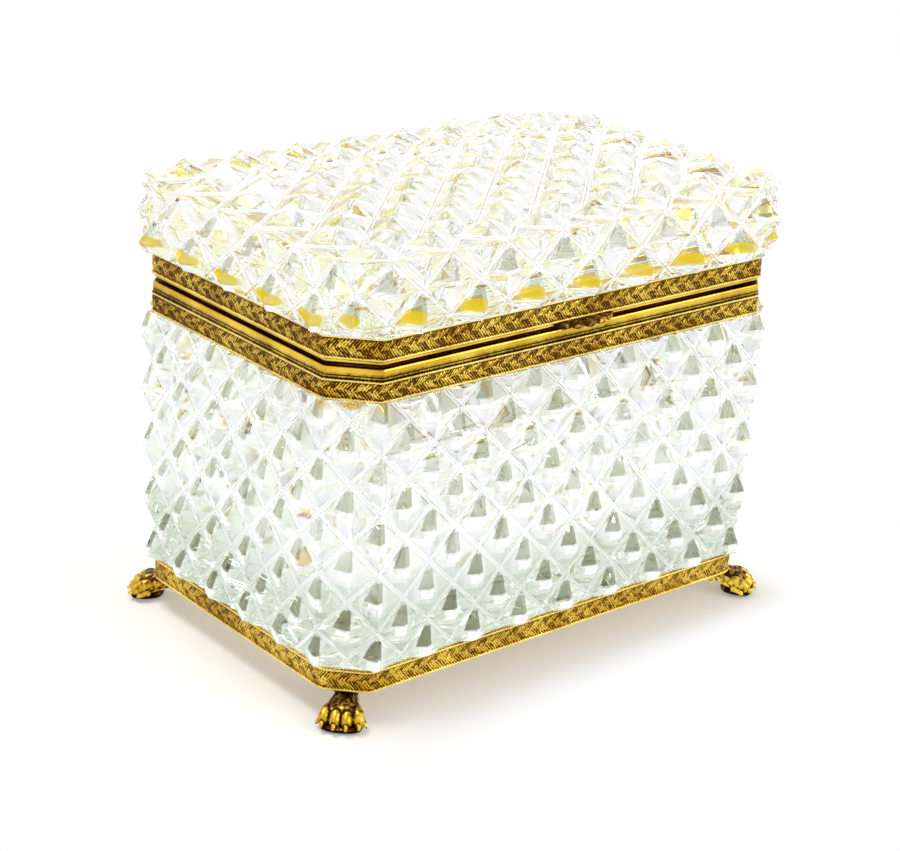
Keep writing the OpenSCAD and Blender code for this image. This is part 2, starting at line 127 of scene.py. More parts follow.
def lifted(flat, level):
    """Points of a flat outline with their levels."""
    return np.concatenate([flat, np.broadcast_to(level, flat[..., :1].shape)], axis=-1)


# %% Meshes and objects


def make_mesh(name, points, *faces, smooth=True, cell=None, **values):
    """A mesh from arrays of points and faces.

    Values are kept on its points. A cell place (two numbers a point) is kept on the corners
    of its faces, so that it stays with a face when neighbours are merged.
    """
    mesh = bpy.data.meshes.new(name)
    points = np.asarray(points, np.float32).reshape(-1, 3)
    mesh.vertices.add(len(points))
    mesh.vertices.foreach_set("co", points.ravel())
    sizes = np.concatenate([np.full(len(f), f.shape[1]) for f in faces])
    corners = np.concatenate([f.ravel() for f in faces])
    mesh.loops.add(len(corners))
    mesh.loops.foreach_set("vertex_index", corners)
    mesh.polygons.add(len(sizes))
    mesh.polygons.foreach_set("loop_start", np.concatenate([[0], np.cumsum(sizes)[:-1]]))
    mesh.polygons.foreach_set("use_smooth", np.full(len(sizes), smooth))
    for key, value in values.items():
        kept = mesh.attributes.new(key, "FLOAT", "POINT")
        kept.data.foreach_set("value", np.asarray(value, np.float32).ravel())
    if cell is not None:
        kept = mesh.attributes.new("cell", "FLOAT2", "CORNER")
        kept.data.foreach_set("vector", np.asarray(cell, np.float32)[corners].ravel())
    mesh.update(calc_edges=True)
    mesh.validate()
    return mesh


def new_object(name, data):
    """An object in the scene that shows a mesh, a lamp or a camera."""
    made = bpy.data.objects.new(name, data)
    bpy.context.scene.collection.objects.link(made)
    return made


def new_piece(name, mesh, material, body, *nodes, slot):
    """Shows a mesh as a piece that rides on a body and stands for CAD nodes."""
    piece = new_object(name, mesh)
    mesh.materials.clear()
    mesh.materials.append(material)
    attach(piece, body)
    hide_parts(*nodes)
    print(name, len(mesh.vertices), "points")


# %% [markdown]
# A shader is easier to read as a sum than as a net of boxes. The class below wraps one
# socket, and its operators add the Math nodes. Every node comes from the one function
# add_node(), which takes the type, its settings and its inputs.

# %% Shader expressions


class Value:
    """One output socket of a shader, on which arithmetic adds Math nodes."""

    def __init__(self, tree, socket):
        self.tree = tree
        self.socket = socket

    def math(self, operation, *others):
        return add_node(
            self.tree, "Math", {"operation": operation}, sockets=dict(enumerate((self, *others))))

    def __add__(self, other):
        return self.math("ADD", other)

    __radd__ = __add__

    def __mul__(self, other):
        return self.math("MULTIPLY", other)

    __rmul__ = __mul__

    def __sub__(self, other):
        return self.math("SUBTRACT", other)

    def __rsub__(self, other):
        return -self + other

    def __neg__(self):
        return self * -1

    def __abs__(self):
        return self.math("ABSOLUTE")

    def above_zero(self):
        return self.math("MAXIMUM", 0.0)

    def clamp(self):
        return self.above_zero().math("MINIMUM", 1.0)

    def step(self, low, high):
        """0 below low and 1 above high, with a smooth rise between them."""
        share = ((self - low) * (1 / (high - low))).clamp()
        return share * share * (3 - share * 2)

    def blend(self, low, high):
        """A colour that goes from low to high as this goes from 0 to 1."""
        return add_node(
            self.tree, "Mix", {"data_type": "RGBA"}, out=2, sockets={0: self, 6: low, 7: high})

    def between(self, first, second):
        """The first shader where this is 0, the second where it is 1."""
        return add_node(self.tree, "MixShader", sockets={0: self, 1: first, 2: second})

    def noise(self, scale, detail=2.0):
        """Clouds from 0 to 1 over the place that this gives."""
        return add_node(self.tree, "TexNoise", Vector=self, Scale=scale, Detail=detail)

    def output(self, k):
        """Another output of the same node."""
        return Value(self.tree, self.socket.node.outputs[k])

    def axes(self):
        """The three numbers of a place or a direction."""
        x = add_node(self.tree, "SeparateXYZ", Vector=self)
        return x, x.output(1), x.output(2)


def plug(tree, socket, value):
    """Links a Value to a socket, or sets a number or colour on it."""
    if isinstance(value, Value):
        tree.links.new(value.socket, socket)
    else:
        socket.default_value = value


def add_node(tree, kind, settings=None, out=0, sockets=None, **inputs):
    """Adds a node: its settings first, then its inputs.

    An input goes by its name, with _ for a blank, or by its number where two share a name.
    """
    node = tree.nodes.new("ShaderNode" + kind)
    for key, value in (settings or {}).items():
        setattr(node, key, value)
    named = {key.replace("_", " "): value for key, value in inputs.items()}
    for key, value in {**(sockets or {}), **named}.items():
        plug(tree, node.inputs[key], value)
    return Value(tree, node.outputs[out]) if node.outputs else None


def emptied(block):
    """Clears the nodes of a material or a world, and gives the function that adds one."""
    block.use_nodes = True
    block.node_tree.nodes.clear()
    return partial(add_node, block.node_tree)


def new_material(name):
    """A material without nodes, and the function that adds one to it."""
    material = bpy.data.materials.new(name)
    return material, emptied(material)


def finished(material, node, **outputs):
    """The material with its shaders on its output."""
    node("OutputMaterial", **outputs)
    print(material.name, "material:", len(material.node_tree.nodes), "nodes")
    return material


def kept(node, name):
    """A number that make_mesh kept on the points under this name."""
    return node("Attribute", {"attribute_name": name}, out=2)


# %% [markdown]
# The glass is clear, with a green cast that shows only where light has a long way to go
# through it. It could be a tinted surface, but then a thin edge would be as green as the
# thick floor, so that cast is in the volume. Most facets of real cut glass also mirror a
# part of the room that isn't here, and here those reflections and shades are painted on:
# painted shade, green and dark, above the middle of a cell, a lilac painted reflection at
# its foot, pale ones at its sides and a white block. Near the floor the facets get a darker,
# greener painted shade, and a grey line of painted shade runs beside each groove. In the
# lid's lowest row and under the body band at the corners, yellow patches are a painted
# reflection of the gilt. Those tones are laid on the glass in thin layers, by a formula of
# the place in the cell, and only where light enters. A matt veil in the same tones makes
# them steady from every side, and on the body it glows a little, which is painted light as
# well; the ground lines by the grooves are matt too. A lamp's light is let through as if
# the glass were thin, because a block of clear glass throws a pale shadow.

# %% Tones of the glass
GLASS_IOR = 1.52
GREEN_CAST = (0.78, 0.88, 0.80, 1)
CAST_DENSITY = 1.2
CLEAR = (1, 1, 1, 1)
BLACK = (0, 0, 0, 1)
THIN_GLASS = (0.98, 0.99, 0.98, 1)
# Painted reflections and painted shade for the facets, and yellow for the painted reflection of
# the gilt.
PALE_FACET_REFLECTION = (0.94, 0.97, 0.88, 1)
DEEP_FACET_SHADE = (0.055, 0.052, 0.012, 1)
FLOOR_SHADE_TONE = (0.46, 0.56, 0.42, 1)
GOLDEN_FACET_REFLECTION = (0.90, 0.90, 0.52, 1)
LILAC_FACET_REFLECTION = (0.86, 0.86, 0.95, 1)
GREEN_FACET_SHADE = (0.29, 0.33, 0.17, 1)
YELLOW_GILT_REFLECTION = (0.60, 0.32, 0.004, 1)
GILT_REFLECTION_SHINE = (0.74, 0.54, 0.008, 1)
VEIL, BLOCK_VEIL, LINE_VEIL, WINDOW_VEIL = 0.28, 0.25, 0.45, 0.8
# The matt veil's glow: painted light.
PAINTED_GLOW = 0.18
# Below this level the facets get a darker, greener painted shade, which fades out higher up.
FLOOR_SHADE_TOP = BASE_BAND[1] + 13 * MM
WINDOW_TOP = LID_BAND[1] + 7 * MM
CORNER_OUT = HALF_L + HALF_W - BAND_CORNER

# %% Patches in a cell
# In a cell x goes from -1 at its left corner to 1 at its right one, and y from -1 below to
# 1 above.
LINE_IN, LINE_OUT = 0.012, 0.13
SHADE_X, SHADE_Y = (-0.17, 0.15), (0.16, 0.78)
SHADE_KNEE, SHADE_LEAN = 0.72, (0.55, 0.04)
LILAC_Y = -0.34
PALE_X, PALE_HALF = -0.15, 0.38
BLOCK_X, BLOCK_HALF, BLOCK_Y = -0.10, 0.26, (-0.20, 0.14)
WINDOW_X, WINDOW_Y, WINDOW_HALF = -0.25, 0.20, (0.52, 0.27)
WINDOW_CUT = 0.22


def patches(x, y):
    """Where a cell gets painted shade, and lilac, pale and white painted reflections:
    each a product of soft steps.

    The painted shade is a field above the middle whose sides lean outwards towards its foot.
    """
    fall = SHADE_KNEE - y
    shade = (x - SHADE_X[0] + fall * SHADE_LEAN[0]).step(-0.01, 0.02)
    shade = shade * (SHADE_X[1] + fall * SHADE_LEAN[1] - x).step(-0.01, 0.02)
    shade = shade * (y - SHADE_Y[0]).step(0, 0.02) * (SHADE_Y[1] - y).step(0, 0.03)
    lilac = (LILAC_Y - y).step(0, 0.06)
    pale = (abs(x - PALE_X) - PALE_HALF).step(0, 0.10)
    block = (BLOCK_HALF - abs(x - BLOCK_X)).step(0, 0.03)
    block = block * (BLOCK_Y[1] - y).step(0, 0.03) * (y - BLOCK_Y[0]).step(0, 0.05)
    return shade, lilac, pale, block


def gilt_reflection_patch(x, y, on_end):
    """The painted reflection of the gilt in a cell: an oval that is cut off at its right; on
    the ends of the lid it is lower and wider.
    """
    along = (x - WINDOW_X - on_end * 0.15) * (1 / WINDOW_HALF[0] - on_end * 0.6)
    across = (y - WINDOW_Y + on_end * 0.12) * (1 / WINDOW_HALF[1])
    across = across * (1.2 - x * 0.5 * (1 - on_end))
    oval = (1 - along * along - across * across).step(0.0, 0.4)
    return oval * (WINDOW_CUT + on_end * 0.5 - x).step(0, 0.05)


# %% Clear glass


def clear_glass():
    """Painted shade and reflections in layers over the cells, and glass and a matt, faintly
    glowing veil in the tone that they give.
    """
    material, node = new_material("clear_glass")
    place = node("TexCoord", out=3)
    spot_x, spot_y, spot_z = place.axes()
    ripple = place.noise(220.0)
    uneven = place.noise(70.0, 1.0).step(0.38, 0.62)
    outside = 1 - node("NewGeometry", out=6)
    on_top = node("TexCoord", out=1).axes()[2].step(0.55, 0.65)
    x, y, _ = node("Attribute", {"attribute_name": "cell"}, out=1).axes()
    is_cut = (abs(x) + abs(y)).step(0.0005, 0.001)
    x = x + (ripple - 0.5) * 0.10

    groove = 1 - abs(x) - abs(y)
    line_end = groove.step(LINE_OUT - 0.03, LINE_OUT)
    on_line = groove.step(LINE_IN, LINE_IN + 0.02) * (1 - line_end) * is_cut
    beside = line_end * (1 - groove.step(LINE_OUT + 0.02, LINE_OUT + 0.05))
    in_cell = groove.step(LINE_OUT, LINE_OUT + 0.05) * is_cut * outside
    shade, lilac, pale, block = (patch * in_cell for patch in patches(x, y))

    in_lid = spot_z.step(LID_BAND[0], LID_BAND[1])
    in_body = 1 - in_lid
    floor_shade = 1 - spot_z.step(FLOOR_SHADE_TOP, FLOOR_SHADE_TOP + 18 * MM)
    under_band = (spot_z - BODY_BAND[0] + 2.6 * MM).step(0, 2 * MM) * in_body
    on_corner = (abs(spot_x) + abs(spot_y)).step(CORNER_OUT - 0.5 * MM, CORNER_OUT + 1.5 * MM)
    on_end = (abs(spot_x) - HALF_L + MM).step(-1 * MM, 0.5 * MM)
    low_row = in_lid * (WINDOW_TOP - spot_z).step(0, 0.5 * MM)
    # Painted reflection of the gilt in the lid's lowest row.
    gilt_reflection = gilt_reflection_patch(x, y, on_end) * low_row * in_cell

    # Painted shade near the floor on the other facets, and a grey line of painted shade beside
    # each groove.
    low_cell = floor_shade * outside * is_cut * (1 - block * 0.8) * (1 - shade)
    edge = beside * is_cut * outside * (0.18 + floor_shade * 0.3) * (1 - in_lid * 0.4)
    # The painted tones, laid one over another: pale, golden and lilac reflections, green and deep
    # shade, shade near the floor and by the grooves, and the yellow reflection of the gilt under
    # the body band.
    painted_tone = CLEAR
    for share, tone in (
            (pale, in_lid.blend(PALE_FACET_REFLECTION, GOLDEN_FACET_REFLECTION)),
            (in_cell * in_body * (1 - block) * 0.5, PALE_FACET_REFLECTION),
            (lilac * in_body, LILAC_FACET_REFLECTION),
            ((lilac * 0.7 + pale * 0.5 + shade).clamp() * floor_shade, FLOOR_SHADE_TONE),
            (shade * (1 - on_top * 0.65) * (0.47 + uneven * 0.4), GREEN_FACET_SHADE),
            (shade * floor_shade * (0.5 + uneven * 0.32), DEEP_FACET_SHADE),
            (edge, DEEP_FACET_SHADE),
            (low_cell * 0.58, FLOOR_SHADE_TONE),
            (under_band * on_corner * outside, YELLOW_GILT_REFLECTION)):
        painted_tone = share.blend(painted_tone, tone)

    wave = node("Bump", Strength=0.02, Distance=0.0002, Height=ripple)
    glass = node(
        "BsdfPrincipled", Base_Color=painted_tone, Roughness=0.0, IOR=GLASS_IOR,
        Transmission_Weight=1.0, Normal=wave)
    # The matt veil shows the painted tones and the gilt reflection, and on the body it glows a
    # little: painted light.
    ground = node(
        "BsdfPrincipled", Base_Color=gilt_reflection.blend(painted_tone, GILT_REFLECTION_SHINE), Roughness=0.9,
        Specular_IOR_Level=0.0, Emission_Color=(gilt_reflection + in_lid).clamp().blend(painted_tone, BLACK),
        Emission_Strength=PAINTED_GLOW)
    veil = in_cell * (1 - gilt_reflection) * (1 - in_lid * 0.7) * (VEIL + block * BLOCK_VEIL)
    veiled = (on_line * LINE_VEIL + gilt_reflection * WINDOW_VEIL + veil).between(glass, ground)
    lamp_ray = node("LightPath", out=1)
    surface = lamp_ray.between(veiled, node("BsdfTransparent", Color=THIN_GLASS))
    cast = node("VolumeAbsorption", Color=GREEN_CAST, Density=CAST_DENSITY)
    return finished(material, node, Surface=surface, Volume=cast)


CLEAR_GLASS = clear_glass()

# %% [markdown]
# The mounts are gilt bronze: fire gilding is bright where the burnisher reached it and
# stays dull and brown in the chased hollows, where years of dust have settled. One
# function makes all the gilts. The height comes from the mesh for the chased bands, the
# rims and the cast feet, and from a noise for the hinge. On the plain rims that number is
# painted light: a bright painted highlight on the eased edges, olive faces as a painted
# reflection of a darker room, and black painted shade in the gap and in the fine line.
# The bands are hatched with fine strokes too, with pale painted glints on their high
# points, and the cast feet are mottled, with a black painted shadow at the sole. The base
# band's gilt is a brighter copy, painted light from the table below it. The faces that no
# one sees but through the glass are finished apart: the body's are tinned, because no gold
# shows through its walls, and the lid's are of a paler, lemon gilt.

# %% Gilt bronze
BRIGHT_GILT = (0.90, 0.61, 0.075, 1)
DEEP_GILT = (0.64, 0.37, 0.022, 1)
PAINTED_GLINT = (1.0, 0.88, 0.42, 1)
LEMON_GILT = (0.95, 0.84, 0.28, 1)
BROWN_HOLLOW = (0.075, 0.024, 0.004, 1)
DARK_HOLLOW = (0.045, 0.012, 0.005, 1)
# Black for painted shade: the gap between the rims, their fine groove, and the paws' soles.
BLACK_SHADE = (0.012, 0.006, 0.003, 1)
BRIGHT_TIN = (0.95, 0.95, 0.94, 1)
LEMON_BACK, TIN_BACK = 0.5, 1.0
GRAIN_DEPTH = 0.05 * MM


def hatching(node, place, relief, grit):
    """Sine strokes over the relief, but not on the plain rims, whose relief is 1."""
    turn = (kept(node, "stroke") + place.noise(500.0) * 1.2) * (2 * math.pi)
    hatch = turn.math("SINE") * 0.5 + 0.5
    flat = relief.step(0.98, 1.0)
    relief = relief * 0.6 + (hatch * 0.4 + (grit - 0.5) * 0.6) * (1 - flat) + flat
    return relief, hatch * (1 - flat) + grit * 0.2


def gilt(name, roughness, hollow_low, hollow_high, grain, has_relief=True, is_hatched=False,
         hollow=BROWN_HOLLOW, mottled=0.0):
    """Metal that is brown below hollow_low of the relief and gilt above hollow_high."""
    material, node = new_material(name)
    place = node("TexCoord", out=3)
    cloud, grit = place.noise(90.0, 3.0), place.noise(1500.0)
    metal = cloud.step(0.35, 0.65).blend(DEEP_GILT, BRIGHT_GILT)
    height = grit
    if has_relief:
        relief = kept(node, "relief")
        if is_hatched:
            relief, height = hatching(node, place, relief, grit)
        relief = relief + (cloud - 0.5) * 0.25 + (grit - 0.5) * 0.35
        if mottled:
            relief = relief + (place.noise(950.0, 3.0) - 0.5) * mottled
            # Relief below zero, on the paws' soles, turns black: painted shadow.
            hollow = relief.step(-0.5, -0.2).blend(BLACK_SHADE, hollow)
        clean_or_lit = relief.step(hollow_low, hollow_high)
    else:
        clean_or_lit = (cloud + 0.25).step(hollow_low, hollow_high)
    colour = clean_or_lit.blend(hollow, metal)
    if is_hatched:
        # Pale painted glints on the high points of the strokes and on the band's rims.
        painted_glint = (relief + (grit - 0.5) * 1.2).step(0.80, 1.15)
        colour = (painted_glint * 0.7).blend(colour, PAINTED_GLINT)
    dull = roughness + (1 - clean_or_lit) * 0.25 + (grit - 0.5) * 0.10
    if has_relief:
        back = kept(node, "tinned")
        colour = back.step(LEMON_BACK - 0.1, LEMON_BACK).blend(colour, LEMON_GILT)
        is_tin = back.step(TIN_BACK - 0.1, TIN_BACK)
        colour = is_tin.blend(colour, BRIGHT_TIN)
        dull = dull * (1 - is_tin) + is_tin * 0.03
        height = height * (1 - is_tin)
    bumps = node("Bump", Strength=grain, Distance=GRAIN_DEPTH, Height=height)
    surface = node(
        "BsdfPrincipled", Base_Color=colour, Metallic=1.0, Roughness=dull.clamp(), Normal=bumps)
    return finished(material, node, Surface=surface)


CHASED_GILT = gilt("chased_gilt", 0.26, 0.22, 0.60, 1.0, is_hatched=True)
# The base band's gilt is a brighter copy of the bands' gilt: painted light from the table below
# it.
LIT_BASE_GILT = gilt("lit_base_gilt", 0.26, 0.14, 0.46, 1.0, is_hatched=True)
CAST_GILT = gilt("cast_gilt", 0.28, 0.22, 0.80, 1.0, hollow=DARK_HOLLOW, mottled=1.6)
PLAIN_GILT = gilt("plain_gilt", 0.20, 0.20, 0.50, 0.25, has_relief=False)
# The plain rims' gilt: its section paints the light, black shade, olive reflection and bright
# edges.
PLAIN_RIM = gilt("plain_rim", 0.22, 0.45, 0.75, 0.25, hollow=BLACK_SHADE)

# %% [markdown]
# The pin and the screws are plain turned steel. A turned end has fine rings, which stretch
# its gloss; here a fine noise does as much, because the screws are seen through the floor.
# The ledge in which the block lies is one node with two finishes, tin on its upper face
# and gilt below, so its material changes with height.

# %% Steel and the tinned ledge


def plain_metal(name, dress):
    """Metal whose colour and roughness come from a function of the place."""
    material, node = new_material(name)
    colour, roughness = dress(node("TexCoord", out=3))
    surface = node("BsdfPrincipled", Base_Color=colour, Metallic=1.0, Roughness=roughness)
    return finished(material, node, Surface=surface)


def turned(place):
    grit = place.noise(1800.0)
    return grit.blend((0.42, 0.40, 0.37, 1), (0.62, 0.60, 0.56, 1)), grit * 0.2 + 0.25


def tinned_above(place):
    height = place.axes()[2] * (1 / MM)
    is_tin = height.step(LEDGE_TOP / MM - 0.2, LEDGE_TOP / MM - 0.1)
    grit = place.noise(700.0, 3.0)
    tin = grit.blend((0.90, 0.90, 0.88, 1), BRIGHT_TIN)
    return is_tin.blend(DEEP_GILT, tin), 0.28 - is_tin * 0.26 + grit * 0.02


STEEL = plain_metal("turned_steel", turned)
TINNED_LEDGE = plain_metal("tinned_ledge", tinned_above)

# %% [markdown]
# Bands and rims all follow one outline: a rectangle with cut corners. On the real mount a
# strip was bent round a former, so each bend has a small radius. The outline is worked out
# once, at equal steps, and every mount is a profile carried along it.

# %% Outlines


def octagon(half_l, half_w, leg):
    """Corners of a rectangle whose own corners are cut off by the leg."""
    right = np.array([
        [half_l - leg, -half_w], [half_l, leg - half_w], [half_l, half_w - leg],
        [half_l - leg, half_w]])
    return np.concatenate([right, -right])


def leg_out(leg, out):
    """The leg of an octagon that lies out from one whose leg is given."""
    return leg + out * (2 - math.sqrt(2))


def band_outline(out):
    """The octagon of the two bands at the mouth, moved outwards."""
    return octagon(HALF_L + out, HALF_W + out, leg_out(BAND_CORNER, out))


def inside_outline(gap):
    """The corners of the casket's inside, moved inwards by a gap."""
    x, y = HALF_L - GLASS_WALL - gap, HALF_W - GLASS_WALL - gap
    return np.array([[x, -y], [x, y], [-x, y], [-x, -y]])


def rounded_path(corners, radius, count):
    """Equal steps along a closed outline whose corners are arcs of the radius.

    Each side is a straight piece and the arc at its far end. A step falls on a piece by its
    distance, and lies there along the side, or turned about the arc's centre. The result
    is the places, the outward normals and the distances, from the middle of the last side.
    """
    ahead = np.roll(corners, -1, axis=0) - corners
    length = np.linalg.norm(ahead, axis=1)
    ahead = ahead / length[:, None]
    turn = np.arccos(np.clip((ahead * np.roll(ahead, 1, axis=0)).sum(1), -1, 1))
    back = radius * np.tan(turn / 2)
    straight = length - back - np.roll(back, -1)
    arcs = np.roll(radius * turn, -1)
    pieces = np.stack([straight, arcs], axis=1).ravel()
    ends = np.cumsum(pieces)
    start = ends[-1] - arcs[-1] - straight[-1] / 2
    distance = np.arange(count) * ends[-1] / count
    s = (distance + start) % ends[-1]
    piece = np.minimum(np.searchsorted(ends, s, side="right"), len(pieces) - 1)
    here = s - (ends[piece] - pieces[piece])
    k = piece // 2
    after = (k + 1) % len(corners)
    way = ahead[k]
    right = np.stack([way[:, 1], -way[:, 0]], axis=1)
    on_line = corners[k] + (back[k] + here)[:, None] * way
    angle = (here / radius)[:, None]
    arc_start = corners[after] - back[after][:, None] * way
    on_arc = arc_start + radius * (way * np.sin(angle) - right * (1 - np.cos(angle)))
    is_arc = (piece % 2 == 1)[:, None]
    place = np.where(is_arc, on_arc, on_line)
    normal = np.where(is_arc, right * np.cos(angle) + way * np.sin(angle), right)
    return place, normal, distance, ends[-1]


# %% [markdown]
# A chased band is a rolled strip: two plain rims and, between them, a frieze of leaf
# sprays that a chaser has hatched with a fine punch. A bump map would look flat along the
# edge, so the leaves are real relief. The strip is a grid: one way runs along the outline
# and the other round the profile. Its height is the highest of a row of leaves, a stem and
# small rosettes, each a short formula of the place along and across the strip.

# %% The chased relief
SPRAY = 5.2 * MM
STROKE = 0.8 * MM
STROKE_SLOPE = 0.8
# A leaf's root and tip along a spray and across half the field, its width, veins and height.
LEAVES = (
    (0.00, 0.05, 0.82, 0.86, 0.30, 0.8 * MM, 1.0),
    (0.10, 0.15, 0.30, 0.92, 0.22, 0.7 * MM, 0.85))


def leaf(along, across, base, tip, width, veins):
    """A pointed leaf: a dome on the line from base to tip, hatched aslant to its midrib."""
    base, tip = np.array(base), np.array(tip)
    length = np.linalg.norm(tip - base)
    way = (tip - base) / length
    u = (along - base[0]) * way[0] + (across - base[1]) * way[1]
    v = (across - base[1]) * way[0] - (along - base[0]) * way[1]
    share = np.clip(u / length, 0, 1)
    half = width * np.sin(math.pi * share ** 0.75) ** 0.8 + 1e-6
    dome = np.clip(1 - (v / half) ** 2, 0, 1) ** 0.5
    dome = np.where((u < 0) | (u > length), 0, dome)
    hatch = np.cos(2 * math.pi * (u - 1.3 * np.abs(v)) / veins)
    midrib = np.exp(-(v / (0.12 * width)) ** 2)
    return dome * (0.62 + 0.38 * hatch) * (1 - 0.6 * midrib)


def rosette(along, across, centre, radius):
    """A small flower: a round dome cut into six petals about a raised heart."""
    x, y = along - centre[0], across - centre[1]
    r = np.hypot(x, y) / radius
    petals = 0.72 + 0.28 * np.cos(6 * np.arctan2(y, x))
    heart = np.clip(1 - (r / 0.35) ** 2, 0, 1)
    return np.maximum(np.clip(1 - r ** 2, 0, 1) * petals, heart)


def frieze(distance, across, total, height):
    """Relief from 0 to 1 of leaf sprays that repeat a whole number of times on a band.

    One spray has an upper leaf and a lower one that start from a stem, half a step apart,
    a short leaf between them and a rosette; the neighbours' parts reach into it.
    """
    step = total / max(1, round(total / SPRAY))
    half = height / 2
    x = distance % step
    wave = 0.12 * half * np.sin(2 * math.pi * distance / step)
    relief = np.clip(1 - ((across - wave) / (0.10 * half)) ** 2, 0, 1) * 0.6
    for shift in (-step, 0, step):
        for side, root in ((1, shift), (-1, 0.5 * step + shift)):
            for root_x, root_y, tip_x, tip_y, width, veins, rise in LEAVES:
                spray = leaf(
                    x, across, (root + root_x * step, root_y * side * half),
                    (root + tip_x * step, tip_y * side * half), width * half, veins)
                relief = np.maximum(relief, rise * spray)
        flower = rosette(x, across, (shift + 0.78 * step, 0.10 * half), 0.27 * half)
        relief = np.maximum(relief, 0.95 * flower)
    return np.clip(relief, 0, 1)


# %% The three chased bands
RIM_H = 0.6 * MM
# A band's half-round rim is dark at its feet and bright on its top, which takes the pale glint.
RIM_CLEAN_OR_LIT = np.array([0, 0.6, 1, 1, 0.7, 0])
RIM_ROWS = len(RIM_CLEAN_OR_LIT)
FIELD_D = 0.35 * MM
FIELD_ROWS = 22
FIELD_EDGE = 0.25 * MM
LEAF_SHARE = 0.9
BAND_STEPS = 2400
BEND_R = 1.7 * MM
BASE_BEND_R = 5 * MM


def body_of(node):
    """The body that carries a mount."""
    return "lid" if node.startswith("lid") else "casket"


def band_profile(height):
    """Offsets and levels round a band's section, which points are in the field, and grime.

    It runs up the face: a rim as a half round, the field, the second rim, then the back.
    """
    arc = np.linspace(0, math.pi, RIM_ROWS)
    rim_z = RIM_H / 2 - RIM_H / 2 * np.cos(arc)
    rim_out = -FIELD_D + FIELD_D * np.sin(arc) ** 0.6
    field_z = np.linspace(RIM_H, height - RIM_H, FIELD_ROWS + 2)[1:-1]
    out = np.concatenate([rim_out, np.full(FIELD_ROWS, -FIELD_D), rim_out, [-BAND_T, -BAND_T]])
    z = np.concatenate([rim_z, field_z, height - rim_z[::-1], [height, 0]])
    in_field = np.concatenate([np.zeros(RIM_ROWS), np.ones(FIELD_ROWS), np.zeros(RIM_ROWS + 2)])
    clean_or_lit = np.concatenate([RIM_CLEAN_OR_LIT, np.ones(FIELD_ROWS), RIM_CLEAN_OR_LIT[::-1], [1, 1]])
    return out, z, in_field, clean_or_lit


def chased_band(node, half_l, half_w, corner, radius, metal):
    """Carries the section along the outline and adds the frieze to the field's points."""
    low, high = levels(node)
    height = high - low
    path, normal, distance, total = rounded_path(
        octagon(half_l, half_w, corner), radius, BAND_STEPS)
    out, z, in_field, clean_or_lit = band_profile(height)
    across = (z - height / 2)[:, None]
    pattern = frieze(distance[None, :], across, total, height - 2 * RIM_H)
    edge = np.clip((height / 2 - RIM_H - np.abs(across)) / FIELD_EDGE, 0, 1)
    relief = pattern * edge * in_field[:, None]
    depth = out[:, None] + LEAF_SHARE * FIELD_D * relief
    points = lifted(path[None] + normal[None] * depth[..., None], (low + z)[:, None, None])
    shown = np.where(in_field[:, None] > 0, relief, clean_or_lit[:, None])
    strokes = round(total / STROKE)
    stroke = distance[None] * strokes / total - STROKE_SLOPE * np.abs(across) / STROKE
    tinned = np.zeros_like(depth)
    tinned[-2:] = TIN_BACK if body_of(node) == "casket" else LEMON_BACK
    name = "chased_" + node
    quads = grid_quads(len(z), BAND_STEPS, close_rows=True)
    mesh = make_mesh(name, points, quads, relief=shown, stroke=stroke, tinned=tinned)
    new_piece(name, mesh, metal, body_of(node), node, slot="chased_gilt")


for node in ("lid_band", "body_band"):
    chased_band(node, HALF_L, HALF_W, BAND_CORNER, BEND_R, CHASED_GILT)
chased_band("base_band", BASE_HALF_L, BASE_HALF_W, BASE_CORNER, BASE_BEND_R, LIT_BASE_GILT)

# %% [markdown]
# The two rims that meet when the lid is shut are plain frames: a flange over the edge of
# the glass, and a skirt that goes down inside it. The outside is the octagon and the
# inside is a round-cornered rectangle, so the section is carried along both at once, and
# each point of it says which of the two outlines it follows. A rebate in the lid's rim
# gives the gap between the two, and the body's rim has a fine groove round it; both are
# painted black as shade, and the rims' eased edges carry a painted highlight and their
# faces a duller, olive painted reflection.

# %% The two plain rims
RIM_STEPS = 480
RIM_BEND_R = 1.2 * MM
SKIRT_T = 1 * MM
GLASS_GAP = 0.15 * MM
EASE = 0.3 * MM


def rim_frame(name, node, stand_back, section):
    """A ring whose section points are (share inside, offset outwards, level, clean_or_lit,
    back).

    Clean_or_lit is the relief that gilt() reads, here painted light: black at 0 as painted
    shade, olive about a half as a painted reflection, and gilt at 1, a painted highlight on
    the eased edges.
    """
    outer, outer_n, _, _ = rounded_path(band_outline(-stand_back), RIM_BEND_R, RIM_STEPS)
    inner, inner_n, _, _ = rounded_path(
        inside_outline(GLASS_GAP), INSIDE_R - GLASS_GAP, RIM_STEPS)
    share, out, z, clean_or_lit, back = np.array(section).T[:, :, None, None]
    flat = (outer + outer_n * out) * (1 - share) + (inner + inner_n * out) * share
    every = flat[..., :1].shape
    mesh = make_mesh(
        name, lifted(flat, z), grid_quads(len(section), RIM_STEPS, close_rows=True),
        smooth=False, relief=np.broadcast_to(clean_or_lit, every), tinned=np.broadcast_to(back, every))
    new_piece(name, mesh, PLAIN_RIM, body_of(node), node, slot="plain_gilt")


body_skirt, body_rim_top = levels("body_frame")
body_rim_low = BODY_BAND[1]
LINE_D, LINE_W, LINE_UP = 0.3 * MM, 0.3 * MM, 0.9 * MM
# How far the body rim's top face is painted black in the gap, as shade.
GAP_SHADE_DEPTH = 1.3 * MM
line = body_rim_low + LINE_UP
